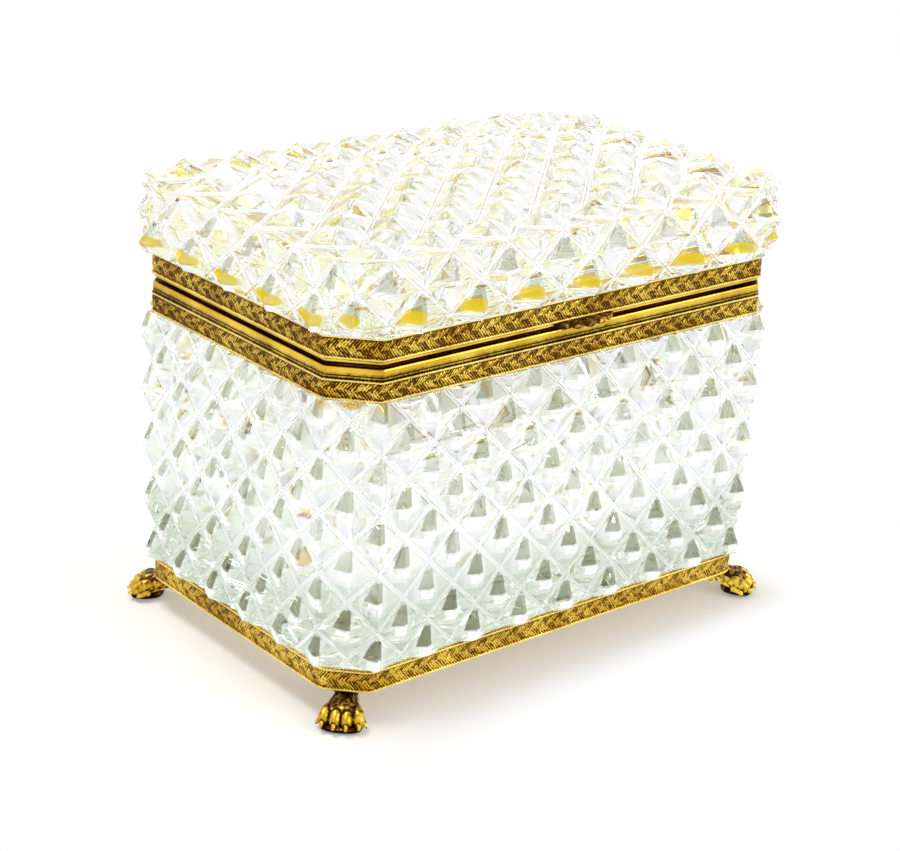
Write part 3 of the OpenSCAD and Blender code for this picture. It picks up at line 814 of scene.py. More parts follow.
# The body rim: bright eased top edge as painted highlight, olive faces, the fine groove and the
# top face in the gap black as painted shade.
rim_frame("plain_body_rim", "body_frame", 0.4 * MM, [
    (0, 0, body_rim_low, 0.35, 0),
    (0, 0, line - LINE_W, 0.62, 0),
    (0, 0, line - LINE_W / 2, 0.62, 0),
    (0, -LINE_D, line - LINE_W / 2, 0, 0),
    (0, -LINE_D, line + LINE_W / 2, 0, 0),
    (0, 0, line + LINE_W / 2, 0.58, 0),
    (0, 0, line + 2 * LINE_W, 0.64, 0),
    (0, 0, body_rim_top - 2.4 * EASE, 0.95, 0),
    (0, 0, body_rim_top - EASE, 1, 0),
    (0, -EASE * 0.3, body_rim_top - EASE * 0.3, 1, 0),
    (0, -EASE, body_rim_top, 1, 0),
    (0, -EASE * 1.5, body_rim_top, 0, 0),
    (0, -GAP_SHADE_DEPTH, body_rim_top, 0, 0),
    (0, -GAP_SHADE_DEPTH - EASE, body_rim_top, 0.9, 0),
    (1, -SKIRT_T + EASE, body_rim_top, 0.9, 0),
    (1, -SKIRT_T, body_rim_top - EASE, 1, 0),
    (1, -SKIRT_T, body_skirt, 1, 0),
    (1, 0, body_skirt, 1, TIN_BACK),
    (1, 0, body_rim_low, 1, TIN_BACK),
    (0, -EASE, body_rim_low, 1, TIN_BACK),
])

lid_rim_low, lid_skirt = levels("lid_frame")
lid_rim_top = LID_BAND[0]
REBATE_D, REBATE_H = 1.2 * MM, 0.75 * MM
rebate = lid_rim_low + REBATE_H
# The lid rim: the rebate black as painted shade, a bright eased edge as painted highlight, an
# olive face above.
rim_frame("plain_lid_rim", "lid_frame", 0.8 * MM, [
    (0, -REBATE_D, lid_rim_low, 0, 0),
    (0, -REBATE_D, rebate, 0, 0),
    (0, -EASE * 1.5, rebate, 0, 0),
    (0, -EASE, rebate, 1, 0),
    (0, -EASE * 0.3, rebate + EASE * 0.3, 1, 0),
    (0, 0, rebate + EASE, 0.9, 0),
    (0, 0, rebate + 2 * EASE, 0.64, 0),
    (0, 0, lid_rim_top, 0.45, 0),
    (0, -EASE, lid_rim_top, 1, LEMON_BACK),
    (1, 0, lid_rim_top, 1, LEMON_BACK),
    (1, 0, lid_skirt, 1, LEMON_BACK),
    (1, -SKIRT_T, lid_skirt, 1, 0),
    (1, -SKIRT_T, lid_rim_low + EASE, 1, 0),
    (1, -SKIRT_T + EASE, lid_rim_low, 1, 0),
    (0, -REBATE_D - EASE, lid_rim_low, 0.9, 0),
])

# %% [markdown]
# The glass is ground with a wheel whose edge is a V. Two sets of grooves cross aslant and
# leave a pyramid in each mesh of the net. A wheel's edge is never quite sharp, so a groove
# ends in a narrow flat, and polishing takes the bite off the ridges. Both catch the light
# as thin double lines. Each pyramid is a small grid: rings from the groove up to the tip,
# with three points on each side of a ring. All pyramids are worked out in one array.

# %% Pyramids between grooves
GROOVE_FLAT = 0.28 * MM
RIDGE_FLAT = 0.07 * MM
TIP_RING = 0.05
FACE_SLOPE = 0.55
CORE_DEPTH = 9 * MM
CELL_CORNERS = np.array([[-1, 0], [0, -1], [1, 0], [0, 1]])
RING_RISES = ((0.0, 0.8), (0.5, 0.3), (1.0, 0.0), (None, 0.0))


def outwards(points, top):
    """Directions away from the nearest point of a box that lies a little inside the block."""
    core = np.array([HALF_L, HALF_W, top]) - CORE_DEPTH
    nearest = np.clip(points, [-core[0], -core[1], 0], core)
    return unit(points - nearest)


def pyramids(tips, corners, top):
    """Points, their places in the cell, and faces of pyramids over corners (n, sides, 3).

    A ring is the outline shrunk towards the tip. The outermost ring lies on the groove's
    bottom, raised outwards almost to the level that the faces have a groove's half width
    further in. On the other rings the corner point is drawn back to the line between its
    two neighbours, which gives the ridge a narrow flat. A place in the cell has two more
    numbers, 0 at the tip and 1 in all at the grooves, and goes through the same sums.
    """
    n, sides, _ = corners.shape
    cell = np.broadcast_to(CELL_CORNERS[:sides], (n, sides, 2))
    corners = np.concatenate([corners, cell], axis=2)
    tips = np.concatenate([tips, np.zeros((n, 2))], axis=1)
    after = np.roll(corners, -1, axis=1)
    way = after - corners
    length = np.linalg.norm(way[..., :3], axis=2, keepdims=True)
    middle = (corners + after) / 2
    reach = np.linalg.norm((middle - tips[:, None])[..., :3], axis=2).mean(axis=1)
    inset = (GROOVE_FLAT / reach)[:, None, None, None]
    rings = []
    for ring, rise in RING_RISES:
        shrink = 1 - inset * ring if ring is not None else np.full_like(inset, TIP_RING)
        step = np.minimum(RIDGE_FLAT / shrink[..., 0] / length, 0.3)
        first = corners + way * step
        last = after - way * step
        before = np.roll(last, 1, axis=1)
        corner = (first + before) / 2 if ring != 0.0 else corners
        outline = np.stack([corner, first, last], axis=2)
        level = tips[:, None, None] + (outline - tips[:, None, None]) * shrink
        level[..., :3] += rise * GROOVE_FLAT * FACE_SLOPE * outwards(outline[..., :3], top)
        rings.append(level.reshape(n, -1, 5))
    tip = (rings[-1].mean(axis=1) * 0.5 + tips * 0.5)[:, None]
    points = np.concatenate([*rings, tip], axis=1).reshape(-1, 5)
    rows, around = len(rings), 3 * sides
    quads = grid_quads(rows, around)
    cap = fan(np.arange((rows - 1) * around, rows * around), rows * around)
    shift = (np.arange(n) * (rows * around + 1))[:, None, None]
    return points, (quads[None] + shift).reshape(-1, 4), (cap[None] + shift).reshape(-1, 3)


# %% The net of grooves
BODY_CELL = 15.4 * MM
BODY_CUT = 2.9 * MM
BODY_FIRST_ROW = 5.2 * MM


def half_path(half, leg):
    """Distance along an outline from the middle of a side to the middle of its cut corner."""
    return half - leg + leg * math.sqrt(1 / 2)


def crossing(k, n, share):
    """Where groove crossing k of n lies, from -1 to 1; the end cells have a share."""
    inside = -1 + (share + k - 1) * 2 / (n - 2 + 2 * share)
    return np.where(k <= 0, -1.0, np.where(k >= n, 1.0, inside))


def column(i, n, share):
    """The same for half steps: an odd one lies midway between two crossings."""
    return (crossing(np.floor(i / 2), n, share) + crossing(np.ceil(i / 2), n, share)) / 2


def on_side(half, out, leg, s):
    """The point at distance s along a side, bent back where the cut corner starts."""
    extra = np.maximum((np.abs(s) - (half - leg)) * math.sqrt(1 / 2), 0)
    along = np.where(extra > 0, np.sign(s) * (half - leg + extra), s)
    return along, out - extra


def side_of(i, n_l, n_w):
    """The side on which half step i of the net lies, and its step along that side."""
    starts = np.array([0, 2 * n_l, 2 * (n_l + n_w), 2 * (2 * n_l + n_w)])
    side = np.searchsorted(starts, i, side="right") - 1
    return side, i - starts[side]


def net_point(i, z, out, n_l, n_w, share, half_l, half_w, leg):
    """The point of the net at half step i and level z, lying out from the octagon."""
    side, step = side_of(i % (4 * (n_l + n_w)), n_l, n_w)
    is_long = side % 2 == 0
    cut = leg_out(leg, out)
    along = np.where(is_long, half_l, half_w) + out
    away = np.where(is_long, half_w, half_l) + out
    spread = np.where(is_long, column(step, n_l, 1), column(step, n_w, share))
    x, y = on_side(along, away, cut, spread * half_path(along, cut))
    flat = np.stack([np.choose(side, [x, y, -x, -y]), np.choose(side, [-y, x, y, -x])], axis=-1)
    return lifted(flat, np.broadcast_to(z, x.shape)[..., None])


def tips_among(steps, rows):
    """Steps and rows that add up to an even number, where a tip stands among crossings."""
    i, j = np.meshgrid(steps, rows)
    is_tip = (i + j) % 2 == 0
    return i[is_tip], j[is_tip]


# %% [markdown]
# The net's pyramids close round the box but not at its ends. The block is then cut to its
# length and hollowed like the real one: the net is closed with plain caps well past its
# ends, and the saw cuts, the neck, the foot and the hollow are done with exact solids.

# %% Solids for cutting


def closed_net(name, points, quads, caps):
    """Merges the pyramids into one shell and closes its open ends."""
    mesh = make_mesh(name, points[:, :3], quads, caps, smooth=False, cell=points[:, 3:])
    work = bmesh.new()
    work.from_mesh(mesh)
    bmesh.ops.remove_doubles(work, verts=work.verts, dist=2e-6)
    open_edges = [e for e in work.edges if e.is_boundary]
    bmesh.ops.holes_fill(work, edges=open_edges, sides=0)
    bmesh.ops.triangulate(work, faces=[f for f in work.faces if len(f.verts) > 4])
    bmesh.ops.recalc_face_normals(work, faces=work.faces)
    if work.calc_volume(signed=True) < 0:
        bmesh.ops.reverse_faces(work, faces=work.faces)
    still_open = sum(1 for e in work.edges if not e.is_manifold)
    work.to_mesh(mesh)
    work.free()
    print(name, "net:", len(mesh.polygons), "faces,", still_open, "open edges")
    return new_object(name, mesh)


def prism(outline, low, high):
    """An upright prism on a level outline, as two rings and two caps."""
    rings = np.stack([lifted(outline, low), lifted(outline, high)])
    mesh = make_mesh("prism", *tube(rings, [[0, 0, low], [0, 0, high]]), smooth=False)
    return new_object("prism", mesh)


def hollow(far_level, open_level, far_r):
    """The inside: a round-cornered rectangle whose far edge is drawn in along an arc."""
    path, normal, _, _ = rounded_path(inside_outline(0), INSIDE_R, 240)
    way = np.sign(open_level - far_level)
    arc = np.linspace(0, math.pi / 2, 13)
    drawn = np.concatenate([[0], far_r * (1 - np.cos(arc))])
    level = np.concatenate([[open_level], far_level + way * far_r * (1 - np.sin(arc))])
    rings = lifted(path[None] - normal[None] * drawn[:, None, None], level[:, None, None])
    mesh = make_mesh("hollow", *tube(rings, [[0, 0, open_level], [0, 0, far_level]]))
    if way > 0:
        mesh.flip_normals()
    return new_object("hollow", mesh)


def final_mesh(made):
    """The mesh of an object with its modifiers applied."""
    graph = bpy.context.evaluated_depsgraph_get()
    return bpy.data.meshes.new_from_object(made.evaluated_get(graph))


def carve(block, tool, operation):
    """Joins, cuts or keeps what two solids share, and deletes the tool."""
    modifier = block.modifiers.new(operation, "BOOLEAN")
    modifier.operation = operation
    modifier.solver = "MANIFOLD"
    modifier.object = tool
    result = final_mesh(block)
    block.modifiers.clear()
    block.data = result
    bpy.data.objects.remove(tool)


# %% Cutting a block to shape
TOUCH = 0.05 * MM
BED = 0.08 * MM
OVERLAP = 0.4 * MM
NECK = -BAND_T - GLASS_GAP


def glass_block(name, net, saw_cuts, joins, inside, node):
    """Saws a net off at two levels, joins prisms (outline, low, high) to it and hollows it."""
    block = closed_net(name, *net)
    carve(block, prism(octagon(2 * HALF_L, 2 * HALF_W, BAND_CORNER), *saw_cuts), "INTERSECT")
    for join in joins:
        carve(block, prism(*join), "UNION")
    carve(block, hollow(*inside), "DIFFERENCE")
    mesh = block.data
    bpy.data.objects.remove(block)
    new_piece(name, mesh, CLEAR_GLASS, body_of(node), node, slot="clear_glass")


# %% The body's block
BODY_CELLS = (
    round(2 * half_path(HALF_L, BAND_CORNER) / BODY_CELL),
    round(2 * half_path(HALF_W, BAND_CORNER) / BODY_CELL))
FOOT = -BAND_T - 2 * GLASS_GAP
FOOT_CORNER = 12 * MM
FLOOR_T = 10 * MM
z_cut, z_body_band = BASE_BAND[1], BODY_BAND[0]


def body_net():
    """Rows of tips, each among four crossings; the net grows narrower towards the foot."""
    n_l, n_w = BODY_CELLS
    step = BODY_CELL / 2
    first = z_body_band - BODY_FIRST_ROW + step
    rows = math.ceil((first - z_cut) / step)

    def point(i, j, out):
        z = first - j * step
        share = (z_body_band - z) / (z_body_band - z_cut)
        half_l = HALF_L - (HALF_L - BASE_HALF_L) * share
        half_w = HALF_W - (HALF_W - BASE_HALF_W) * share
        return net_point(i, z, out, n_l, n_w, 1, half_l, half_w, BAND_CORNER)

    i, j = tips_among(np.arange(4 * (n_l + n_w)), np.arange(rows + 1))
    corners = [point(i + a, j - b, 0) for a, b in CELL_CORNERS]
    return pyramids(point(i, j, BODY_CUT), np.stack(corners, axis=1), HALF_L * 2)


glass_block(
    "cut_glass_body", body_net(), (z_cut + MM, z_body_band - TOUCH),
    [(band_outline(NECK), z_body_band - OVERLAP, BODY_BAND[1] - BED),
     (octagon(BASE_HALF_L + FOOT, BASE_HALF_W + FOOT, FOOT_CORNER), LEDGE_TOP + BED,
      z_cut + MM + OVERLAP)],
    (LEDGE_TOP + FLOOR_T, BODY_BAND[1] + MM, INSIDE_R), "body_glass")

# %% [markdown]
# The lid's net goes over its top as well. Along the edge a row of pyramids leans outwards
# over the band, which gives the lid its toothed outline. A corner of the lid is a pyramid
# with only three crossings about it, so those four are worked out apart.

# %% The lid's net
LID_CELL_L, LID_CELL_W, LID_CELL_H = 17.3 * MM, 16.7 * MM, 14.6 * MM
END_SHARE = 0.6
LID_CUT, TOP_CUT = 4 * MM, 3.3 * MM
EDGE_IN, EDGE_OUT, EDGE_RISE = 0.8 * MM, 3.4 * MM, 1 * MM
LID_GLASS_TOP = levels("lid_glass")[1]
z_edge = LID_GLASS_TOP - TOP_CUT
z_lid_cut = LID_BAND[1]
LID_CELLS = (
    2 * round(half_path(HALF_L, BAND_CORNER) / LID_CELL_L),
    2 * round((2 * half_path(HALF_W, BAND_CORNER) / LID_CELL_W + 2 - 2 * END_SHARE) / 2))
LAST_I, LAST_J = 2 * LID_CELLS[0], 2 * LID_CELLS[1]


def lid_wall_point(i, j):
    """The lid's net on its walls: tips stand out, and the edge row leans and rises."""
    tip = (i + j) % 2 == 0
    edge = j == 0
    out = np.where(edge, np.where(tip, EDGE_OUT, -EDGE_IN), np.where(tip, LID_CUT, 0.0))
    z = z_edge - j * LID_CELL_H / 2 + np.where(edge & tip, EDGE_RISE, 0)
    return net_point(i, z, out, *LID_CELLS, END_SHARE, HALF_L, HALF_W, BAND_CORNER)


def lid_top_point(i, j):
    """The lid's net on its top, whose border is the wall's first row."""
    across = column(i, LID_CELLS[0], 1) * half_path(HALF_L, BAND_CORNER)
    x = on_side(HALF_L, HALF_W, BAND_CORNER, across)[0]
    deep = column(j, LID_CELLS[1], END_SHARE) * half_path(HALF_W, BAND_CORNER)
    y = on_side(HALF_W, HALF_L, BAND_CORNER, deep)[0]
    z = z_edge + np.where((i + j) % 2 == 0, TOP_CUT, 0)
    borders = [j == 0, i == LAST_I, j == LAST_J, i == 0]
    ring = np.select(
        borders, [i, LAST_I + j, 2 * LAST_I + LAST_J - i, 2 * LAST_I + 2 * LAST_J - j])
    wall = lid_wall_point(ring, np.zeros_like(ring))
    return np.where(np.any(borders, axis=0)[..., None], wall, np.stack([x, y, z], axis=-1))


def wall_cells(i, j, *above):
    """Tips on the wall with the crossings at their left, below, at their right and above."""
    corners = [lid_wall_point(i + a, j - b) for a, b in CELL_CORNERS[:3]]
    return lid_wall_point(i, j), np.stack([*corners, *above], axis=1)


def lid_net():
    """Tips on the top, on the edge, on the corners and on the walls, in four groups."""
    i, j = tips_among(np.arange(1, LAST_I), np.arange(1, LAST_J))
    corners = [lid_top_point(i - a, j - b) for a, b in CELL_CORNERS]
    groups = [(lid_top_point(i, j), np.stack(corners, axis=1))]

    ring = np.arange(0, 2 * (LAST_I + LAST_J), 2)
    side, step = side_of(ring, *LID_CELLS)
    is_corner = step == 0
    edge, side, step = ring[~is_corner], side[~is_corner], step[~is_corner]
    inner_i = np.choose(side, [step, LAST_I - 1, LAST_I - step, 1])
    inner_j = np.choose(side, [1, step, LAST_J - 1, LAST_J - step])
    groups.append(wall_cells(edge, np.zeros_like(edge), lid_top_point(inner_i, inner_j)))
    turn = ring[is_corner]
    groups.append(wall_cells(turn, np.zeros_like(turn)))

    rows = math.ceil((z_edge - z_lid_cut) / (LID_CELL_H / 2))
    i, j = tips_among(np.arange(2 * (LAST_I + LAST_J)), np.arange(1, rows + 1))
    groups.append(wall_cells(i, j, lid_wall_point(i, j - 1)))
    return joined([pyramids(tips, around, z_edge) for tips, around in groups])


# %% The lid's block
MARGIN_H, MARGIN_OUT = 1.1 * MM, 0.3 * MM
LID_INSIDE_H = 10.5 * MM
glass_block(
    "cut_glass_lid", lid_net(), (z_lid_cut + MARGIN_H / 2, 2 * LID_GLASS_TOP),
    [(band_outline(MARGIN_OUT), z_lid_cut + TOUCH, z_lid_cut + MARGIN_H),
     (band_outline(NECK), LID_BAND[0] + BED, z_lid_cut + OVERLAP)],
    (LID_BAND[0] + LID_INSIDE_H, LID_BAND[0] - MM, INSIDE_R / 2), "lid_glass")

# %% [markdown]
# The feet are cast and then chased: a leg with tufts of fur, a broad paw, four toes with
# swollen knuckles, a claw on each, and a small claw at either side. A cast form has no
# seams, so each limb is a tube with its own thickness and all of them are melted into one
# skin, which is then cut flat at the sole and under the band.

# %% Limbs
AROUND = 20
CAP_SHARE = 0.18
THINNEST = 0.03 * MM


def limb(stops, rows=14, fur=0.0):
    """A closed tube through stops (x, y, z, radius along, radius across), smoothly joined.

    Places and radii run along cubic curves through the stops; each ring lies across the
    way that the tube takes there, and the ends are drawn together in half rounds.
    """
    stops = np.array(stops, float) * MM
    t = np.linspace(0, len(stops) - 1, rows * (len(stops) - 1) + 1)
    k = np.clip(t.astype(int), 0, len(stops) - 2)
    f = (t - k)[:, None]
    padded = np.concatenate([2 * stops[:1] - stops[1:2], stops, 2 * stops[-1:] - stops[-2:-1]])
    a, b, c, d = padded[k], padded[k + 1], padded[k + 2], padded[k + 3]
    line = 0.5 * (2 * b + (c - a) * f + (2 * a - 5 * b + 4 * c - d) * f ** 2
                  + (3 * b - a - 3 * c + d) * f ** 3)
    place, radius = line[:, :3], np.maximum(line[:, 3:], THINNEST)
    way = unit(np.gradient(place, axis=0))
    side = unit(np.array([0.0, 1.0, 0.0]) - way * way[:, 1:2])
    over = np.cross(way, side)
    share = t / t[-1]
    cap = 1
    for from_end in (share, 1 - share):
        cap = cap * np.sqrt(np.clip(1 - np.maximum(1 - from_end / CAP_SHARE, 0) ** 2, 0, 1))
    cap = np.maximum(cap, 0.02)
    angle = np.linspace(0, 2 * math.pi, AROUND, endpoint=False)
    tuft = 1 + fur * np.cos(7 * angle[None] + 6 * share[:, None])
    reach = (cap[:, None] * tuft)[..., None]
    ring = over[:, None] * np.cos(angle)[None, :, None] * radius[:, None, 0:1]
    ring = ring + side[:, None] * np.sin(angle)[None, :, None] * radius[:, None, 1:2]
    return tube(place[:, None] + ring * reach, place[[0, -1]])


def melted(name, limbs, voxel):
    """All limbs as one closed skin of even fineness."""
    made = new_object(name, make_mesh(name, *joined(limbs)))
    skin = made.modifiers.new("skin", "REMESH")
    skin.mode = "VOXEL"
    skin.voxel_size = voxel
    soft = made.modifiers.new("soft", "SMOOTH")
    soft.factor, soft.iterations = 0.5, 3
    result = final_mesh(made)
    bpy.data.objects.remove(made)
    points = np.empty(len(result.vertices) * 3, np.float32)
    result.vertices.foreach_get("co", points)
    faces = np.empty(len(result.loops), np.int32)
    result.loops.foreach_get("vertex_index", faces)
    return points.reshape(-1, 3), faces.reshape(-1, 4)


# %% The paw
FOOT_H = levels("base_band")[0] / MM
TOES = 4
TOE_R = 1.75
TOE_SPREAD = 2.85
PAW_VOXEL = 0.16 * MM


def toe(side):
    """A toe and its claw; the outer ones lie a little further back."""
    back = 1.0 if abs(side) > 1 else 0.0
    spread = TOE_SPREAD * side
    yield limb([
        (0.8 - back, 0.60 * spread, 4.0, 1.2, 1.0),
        (3.5 - back, 0.86 * spread, 4.0, TOE_R, TOE_R * 0.86),
        (5.8 - back, spread, 3.0, TOE_R * 0.95, TOE_R * 0.84),
        (7.0 - back, 1.03 * spread, 2.5, 1.0, 1.0)], rows=8)
    yield limb([
        (6.8 - back, 1.04 * spread, 2.5, 0.8, 0.7), (7.7 - back, 1.07 * spread, 2.1, 0.55, 0.5),
        (8.2 - back, 1.09 * spread, 1.7, 0.3, 0.3)], rows=6)


def paw_limbs():
    """The leg, the paw and its pad, toes that spread like a fan, and the two side claws."""
    yield limb([
        (-5.0, 0, FOOT_H + 1.2, 3.3, 3.3), (-4.4, 0, FOOT_H - 1, 3.2, 3.2),
        (-3.9, 0, 4.6, 2.7, 2.7), (-2.6, 0, 3.2, 2.2, 2.8)], fur=0.07)
    yield limb([
        (-4.2, 0, 6.0, 2.2, 2.6), (-1.6, 0, 4.8, 2.6, 3.4), (1.6, 0, 3.7, 2.8, 4.4),
        (4.9, 0, 3.0, 2.6, 4.8)], fur=0.05)
    yield limb([(-1.6, 0, 0.9, 0.9, 3.0), (2.6, 0, 0.9, 0.9, 5.2), (7.2, 0, 0.9, 0.85, 4.8)])
    for k in range(TOES):
        yield from toe(k - (TOES - 1) / 2)
    for side in (-1, 1):
        yield limb([
            (1.0, 4.2 * side, 2.6, 1.1, 1.0), (3.4, 5.3 * side, 2.1, 0.8, 0.7),
            (4.6, 6.3 * side, 1.0, 0.25, 0.25)], rows=6)


paw_points, paw_quads = melted("paw", paw_limbs(), PAW_VOXEL)
paw_points[:, 2] = np.clip(paw_points[:, 2], 0, FOOT_H * MM)
print("paw:", len(paw_points), "points")

# %% The paw's hollows, its painted sole shadow and its darker ankle
SMOOTHINGS = 12
CLEFT = 0.24 * MM
SOLE_SHADE_H, SOLE_SHADE_FADE, SOLE_SHADOW_H, SOLE_SHADOW_FADE = 0.9, 0.9, 1.3, 0.4
ANKLE_H, ANKLE_FADE, ANKLE_DARK = 4.8, 0.8, 0.22


def openness(points, quads):
    """How far each point stands out from its smoothed place: 1 on knuckles, 0 in clefts."""
    ends = np.concatenate([quads[:, [a, (a + 1) % 4]] for a in range(4)])
    ends = np.concatenate([ends, ends[:, ::-1]])
    count = np.bincount(ends[:, 0], minlength=len(points))[:, None]
    smooth = points.astype(float)
    for _ in range(SMOOTHINGS):
        total = np.zeros_like(smooth)
        np.add.at(total, ends[:, 0], smooth[ends[:, 1]])
        smooth = total / count
    face = np.cross(
        points[quads[:, 2]] - points[quads[:, 0]], points[quads[:, 3]] - points[quads[:, 1]])
    normal = np.zeros_like(smooth)
    for a in range(4):
        np.add.at(normal, quads[:, a], face)
    normal = normal / (np.linalg.norm(normal, axis=1, keepdims=True) + 1e-12)
    return np.clip(0.5 + ((points - smooth) * normal).sum(1) / CLEFT, 0, 1)


paw_relief = openness(paw_points, paw_quads)
paw_height = paw_points[:, 2] / MM
# Painted shadow: the paw goes dark towards the table and black at its sole. The ankle is made
# darker.
paw_relief *= np.clip((paw_height - SOLE_SHADE_H) / SOLE_SHADE_FADE, 0, 1)
paw_relief -= np.clip((SOLE_SHADOW_H - paw_height) / SOLE_SHADOW_FADE, 0, 1)
paw_relief -= ANKLE_DARK * np.clip((paw_height - ANKLE_H) / ANKLE_FADE, 0, 1)

# %% The four feet
foot_leg = BASE_CORNER / 2
FEET = {
    "front_left": (-1, -1), "front_right": (1, -1), "back_left": (-1, 1), "back_right": (1, 1)}
for name, (x, y) in FEET.items():
    turn = np.array(Matrix.Rotation(math.atan2(y, x), 3, "Z"))
    place = np.array([x * (BASE_HALF_L - foot_leg), y * (BASE_HALF_W - foot_leg), 0])
    mesh = make_mesh("paw_" + name, paw_points @ turn.T + place, paw_quads, relief=paw_relief)
    new_piece("paw_" + name, mesh, CAST_GILT, "casket", "foot_" + name, slot="cast_gilt")

# %% [markdown]
# The thumb lift is a small cast shell under the middle of the lid band. Its outline is
# half an oval with five lobes, hollowed a little between them, and thin at the root. Its
# left half is darker: painted shade.

# %% The thumb lift
LIFT_LOBES = 5
LIFT_ROWS, LIFT_AROUND = 121, 24


def thumb_lift():
    """A closed section carried from end to end: its reach follows half an oval."""
    low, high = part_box("thumb_lift")
    half = (high.x - low.x) / 2
    root, reach = high.y, high.y - low.y
    u = np.linspace(-1, 1, LIFT_ROWS)[:, None]
    a = np.linspace(0, 2 * math.pi, LIFT_AROUND + 1)[None, :-1]
    lobe = np.abs(np.cos(math.pi * LIFT_LOBES * u / 2)) ** 0.6
    oval = np.sqrt(np.clip(1 - u ** 2, 0, 1))
    out = reach * oval * (0.86 + 0.14 * lobe) + 0.05 * MM
    thick = (high.z - low.z) * (0.45 + 0.45 * lobe * oval)
    front = (1 - np.cos(a)) / 2
    bulge = np.sin(a) * (0.35 + 0.65 * front)
    y = root - out * front
    z = high.z - 0.02 * MM - thick * (0.5 - 0.5 * bulge)
    rings = np.stack([np.broadcast_to(u * half, y.shape), y, z], axis=-1)
    # Painted shade: the left half is darker, as the underside in shadow.
    relief = np.broadcast_to(np.where(u < 0.1, 0.0, 0.15) + 0.35 * lobe, y.shape)
    mesh = make_mesh(
        "shell_thumb_lift", *tube(rings, rings[[0, -1]].mean(axis=1)),
        relief=np.concatenate([relief.ravel(), [0.5, 0.5]]))
    new_piece("shell_thumb_lift", mesh, CAST_GILT, "lid", "thumb_lift", slot="cast_gilt")


thumb_lift()

# %% [markdown]
# The ledge, the hinge, its pin and the screws have their real shape in the frame already,
# so they only get their metal.

# %% Metal on the nodes that stay
NODE_METALS = {
    "base_frame": TINNED_LEDGE, "hinge_leaf_lid": PLAIN_GILT, "hinge_leaf_body": PLAIN_GILT,
    "hinge_pin": STEEL, "foot_screws": STEEL}
for node, material in NODE_METALS.items():
    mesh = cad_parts[node].data
    mesh.materials.clear()
    mesh.materials.append(material)
print("metal on:", *NODE_METALS)

# %% [markdown]
# The casket stands on a white table in a white room. The room lights it from all round, a
# broad soft lamp from above gives the shadow, and a small one at the side brings out the
# chasing. A table that is lit like that would come out grey, so it is plain white light,
# and a matt surface that takes the shadow is mixed in near the casket only: far out at the
# left and the back, and less far at the front and the right, where the shadow ends sooner.

# %% The table
SHADOW_SHARE = 0.75
SHADOW_FULL, SHADOW_END = 5 * MM, 52 * MM
SHORT_RIGHT, SHORT_FRONT = 3.0, 2.8
TABLE_HALF = 3.0


def table_top():
    """White light, and a matt surface where the casket is near; glass sees white only."""
    material, node = new_material("white_table")
    white = node("Emission", Color=(1, 1, 1, 1), Strength=1.0)
    matt = node("BsdfDiffuse", Color=(0.93, 0.90, 0.84, 1))
    x, y, _ = node("TexCoord", out=3).axes()
    x_out = (-x - BASE_HALF_L).above_zero() + (x - BASE_HALF_L).above_zero() * SHORT_RIGHT
    y_out = (-y - BASE_HALF_W).above_zero() * (SHORT_FRONT + x * (1 / BASE_HALF_L))
    y_out = y_out + (y - BASE_HALF_W).above_zero()
    near = 1 - (x_out * x_out + y_out * y_out).math("SQRT").step(SHADOW_FULL, SHADOW_END)
    ray = node("LightPath")
    mirrored = (ray.output(3) + ray.output(6)).clamp()
    surface = ((1 - mirrored) * near * SHADOW_SHARE).between(white, matt)
    corners = np.array([[-1, -1, 0], [1, -1, 0], [1, 1, 0], [-1, 1, 0]]) * TABLE_HALF
    mesh = make_mesh("table_top", corners, np.array([[0, 1, 2, 3]]))
    mesh.materials.append(finished(material, node, Surface=surface))
    table = new_object("table_top", mesh)


table_top()

# %% The room and its lamps
SOFT_LIGHT = 0.7
CASKET_MIDDLE = Vector((0, 0, 0.05))


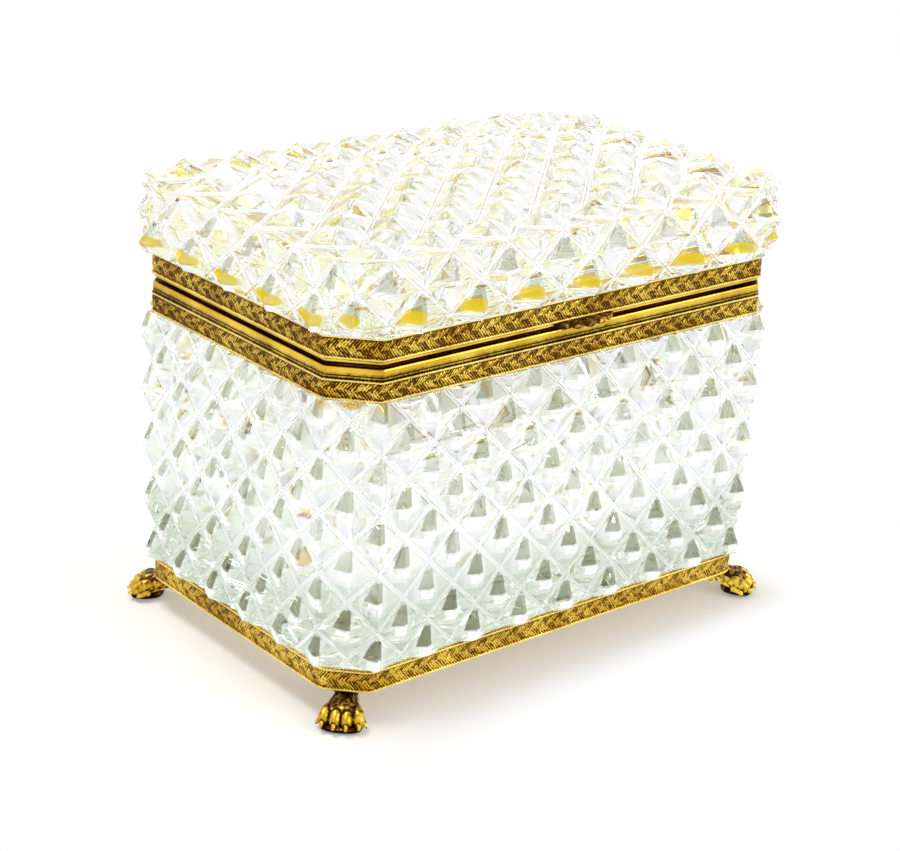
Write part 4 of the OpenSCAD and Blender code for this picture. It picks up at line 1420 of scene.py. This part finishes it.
def room():
    """White to the camera and in what glass and metal mirror, and softer as a light."""
    world = bpy.data.worlds.new("white_room")
    bpy.context.scene.world = world
    node = emptied(world)
    camera_ray = node("LightPath")
    seen = (camera_ray + camera_ray.output(3) + camera_ray.output(6)).clamp()
    strength = seen + (1 - seen) * SOFT_LIGHT
    node("OutputWorld", Surface=node("Background", Color=(1, 1, 1, 1), Strength=strength))


def lamp(name, kind, place, **settings):
    """A soft lamp that faces the middle of the casket."""
    data = bpy.data.lights.new(name, kind)
    for key, value in settings.items():
        setattr(data, key, value)
    made = new_object(name, data)
    made.location = place
    back = Vector(place) - CASKET_MIDDLE
    made.rotation_euler = back.to_track_quat("Z", "Y").to_euler()


room()
lamp("overhead_light", "SUN", (-0.15, 0.35, 1.2), energy=1.6, angle=math.radians(25))
lamp("side_light", "AREA", (0.7, -1.1, 0.7), energy=6.0, shape="SQUARE", size=0.7)

# %% [markdown]
# Light in cut glass is thrown from facet to facet many times before it leaves, so the
# number of bounces is raised: with too few, deep facets turn black.

# %% Bounces of light in the glass
BOUNCES = 32
for kind in ("max", "glossy", "transmission"):
    setattr(bpy.context.scene.cycles, kind + "_bounces", BOUNCES)
print("bounces:", BOUNCES)

# %% [markdown]
# The camera stands where the photograph was taken from. Its place and turn were worked
# out once, from the corners of the bands and the tips of the grooves.

# %% The camera
CAMERA_PLACE = (-0.354319, -0.414533, 0.26484)
CAMERA_RIGHT = (0.77366071, -0.6316551, 0.04960781)
CAMERA_UP = (0.19739642, 0.31469045, 0.92844201)
CAMERA_BACK = (-0.60206624, -0.70850671, 0.36815009)
LENS = 88.20

camera_data = bpy.data.cameras.new("camera")
camera_data.lens = LENS
camera_data.sensor_width = 36
camera_data.sensor_fit = "HORIZONTAL"
camera_data.clip_start = 0.01
camera = new_object("camera", camera_data)
turn = Matrix((CAMERA_RIGHT, CAMERA_UP, CAMERA_BACK)).transposed()
camera.matrix_world = Matrix.Translation(CAMERA_PLACE) @ turn.to_4x4()
bpy.context.scene.camera = camera
bpy.context.scene.view_settings.view_transform = "Standard"
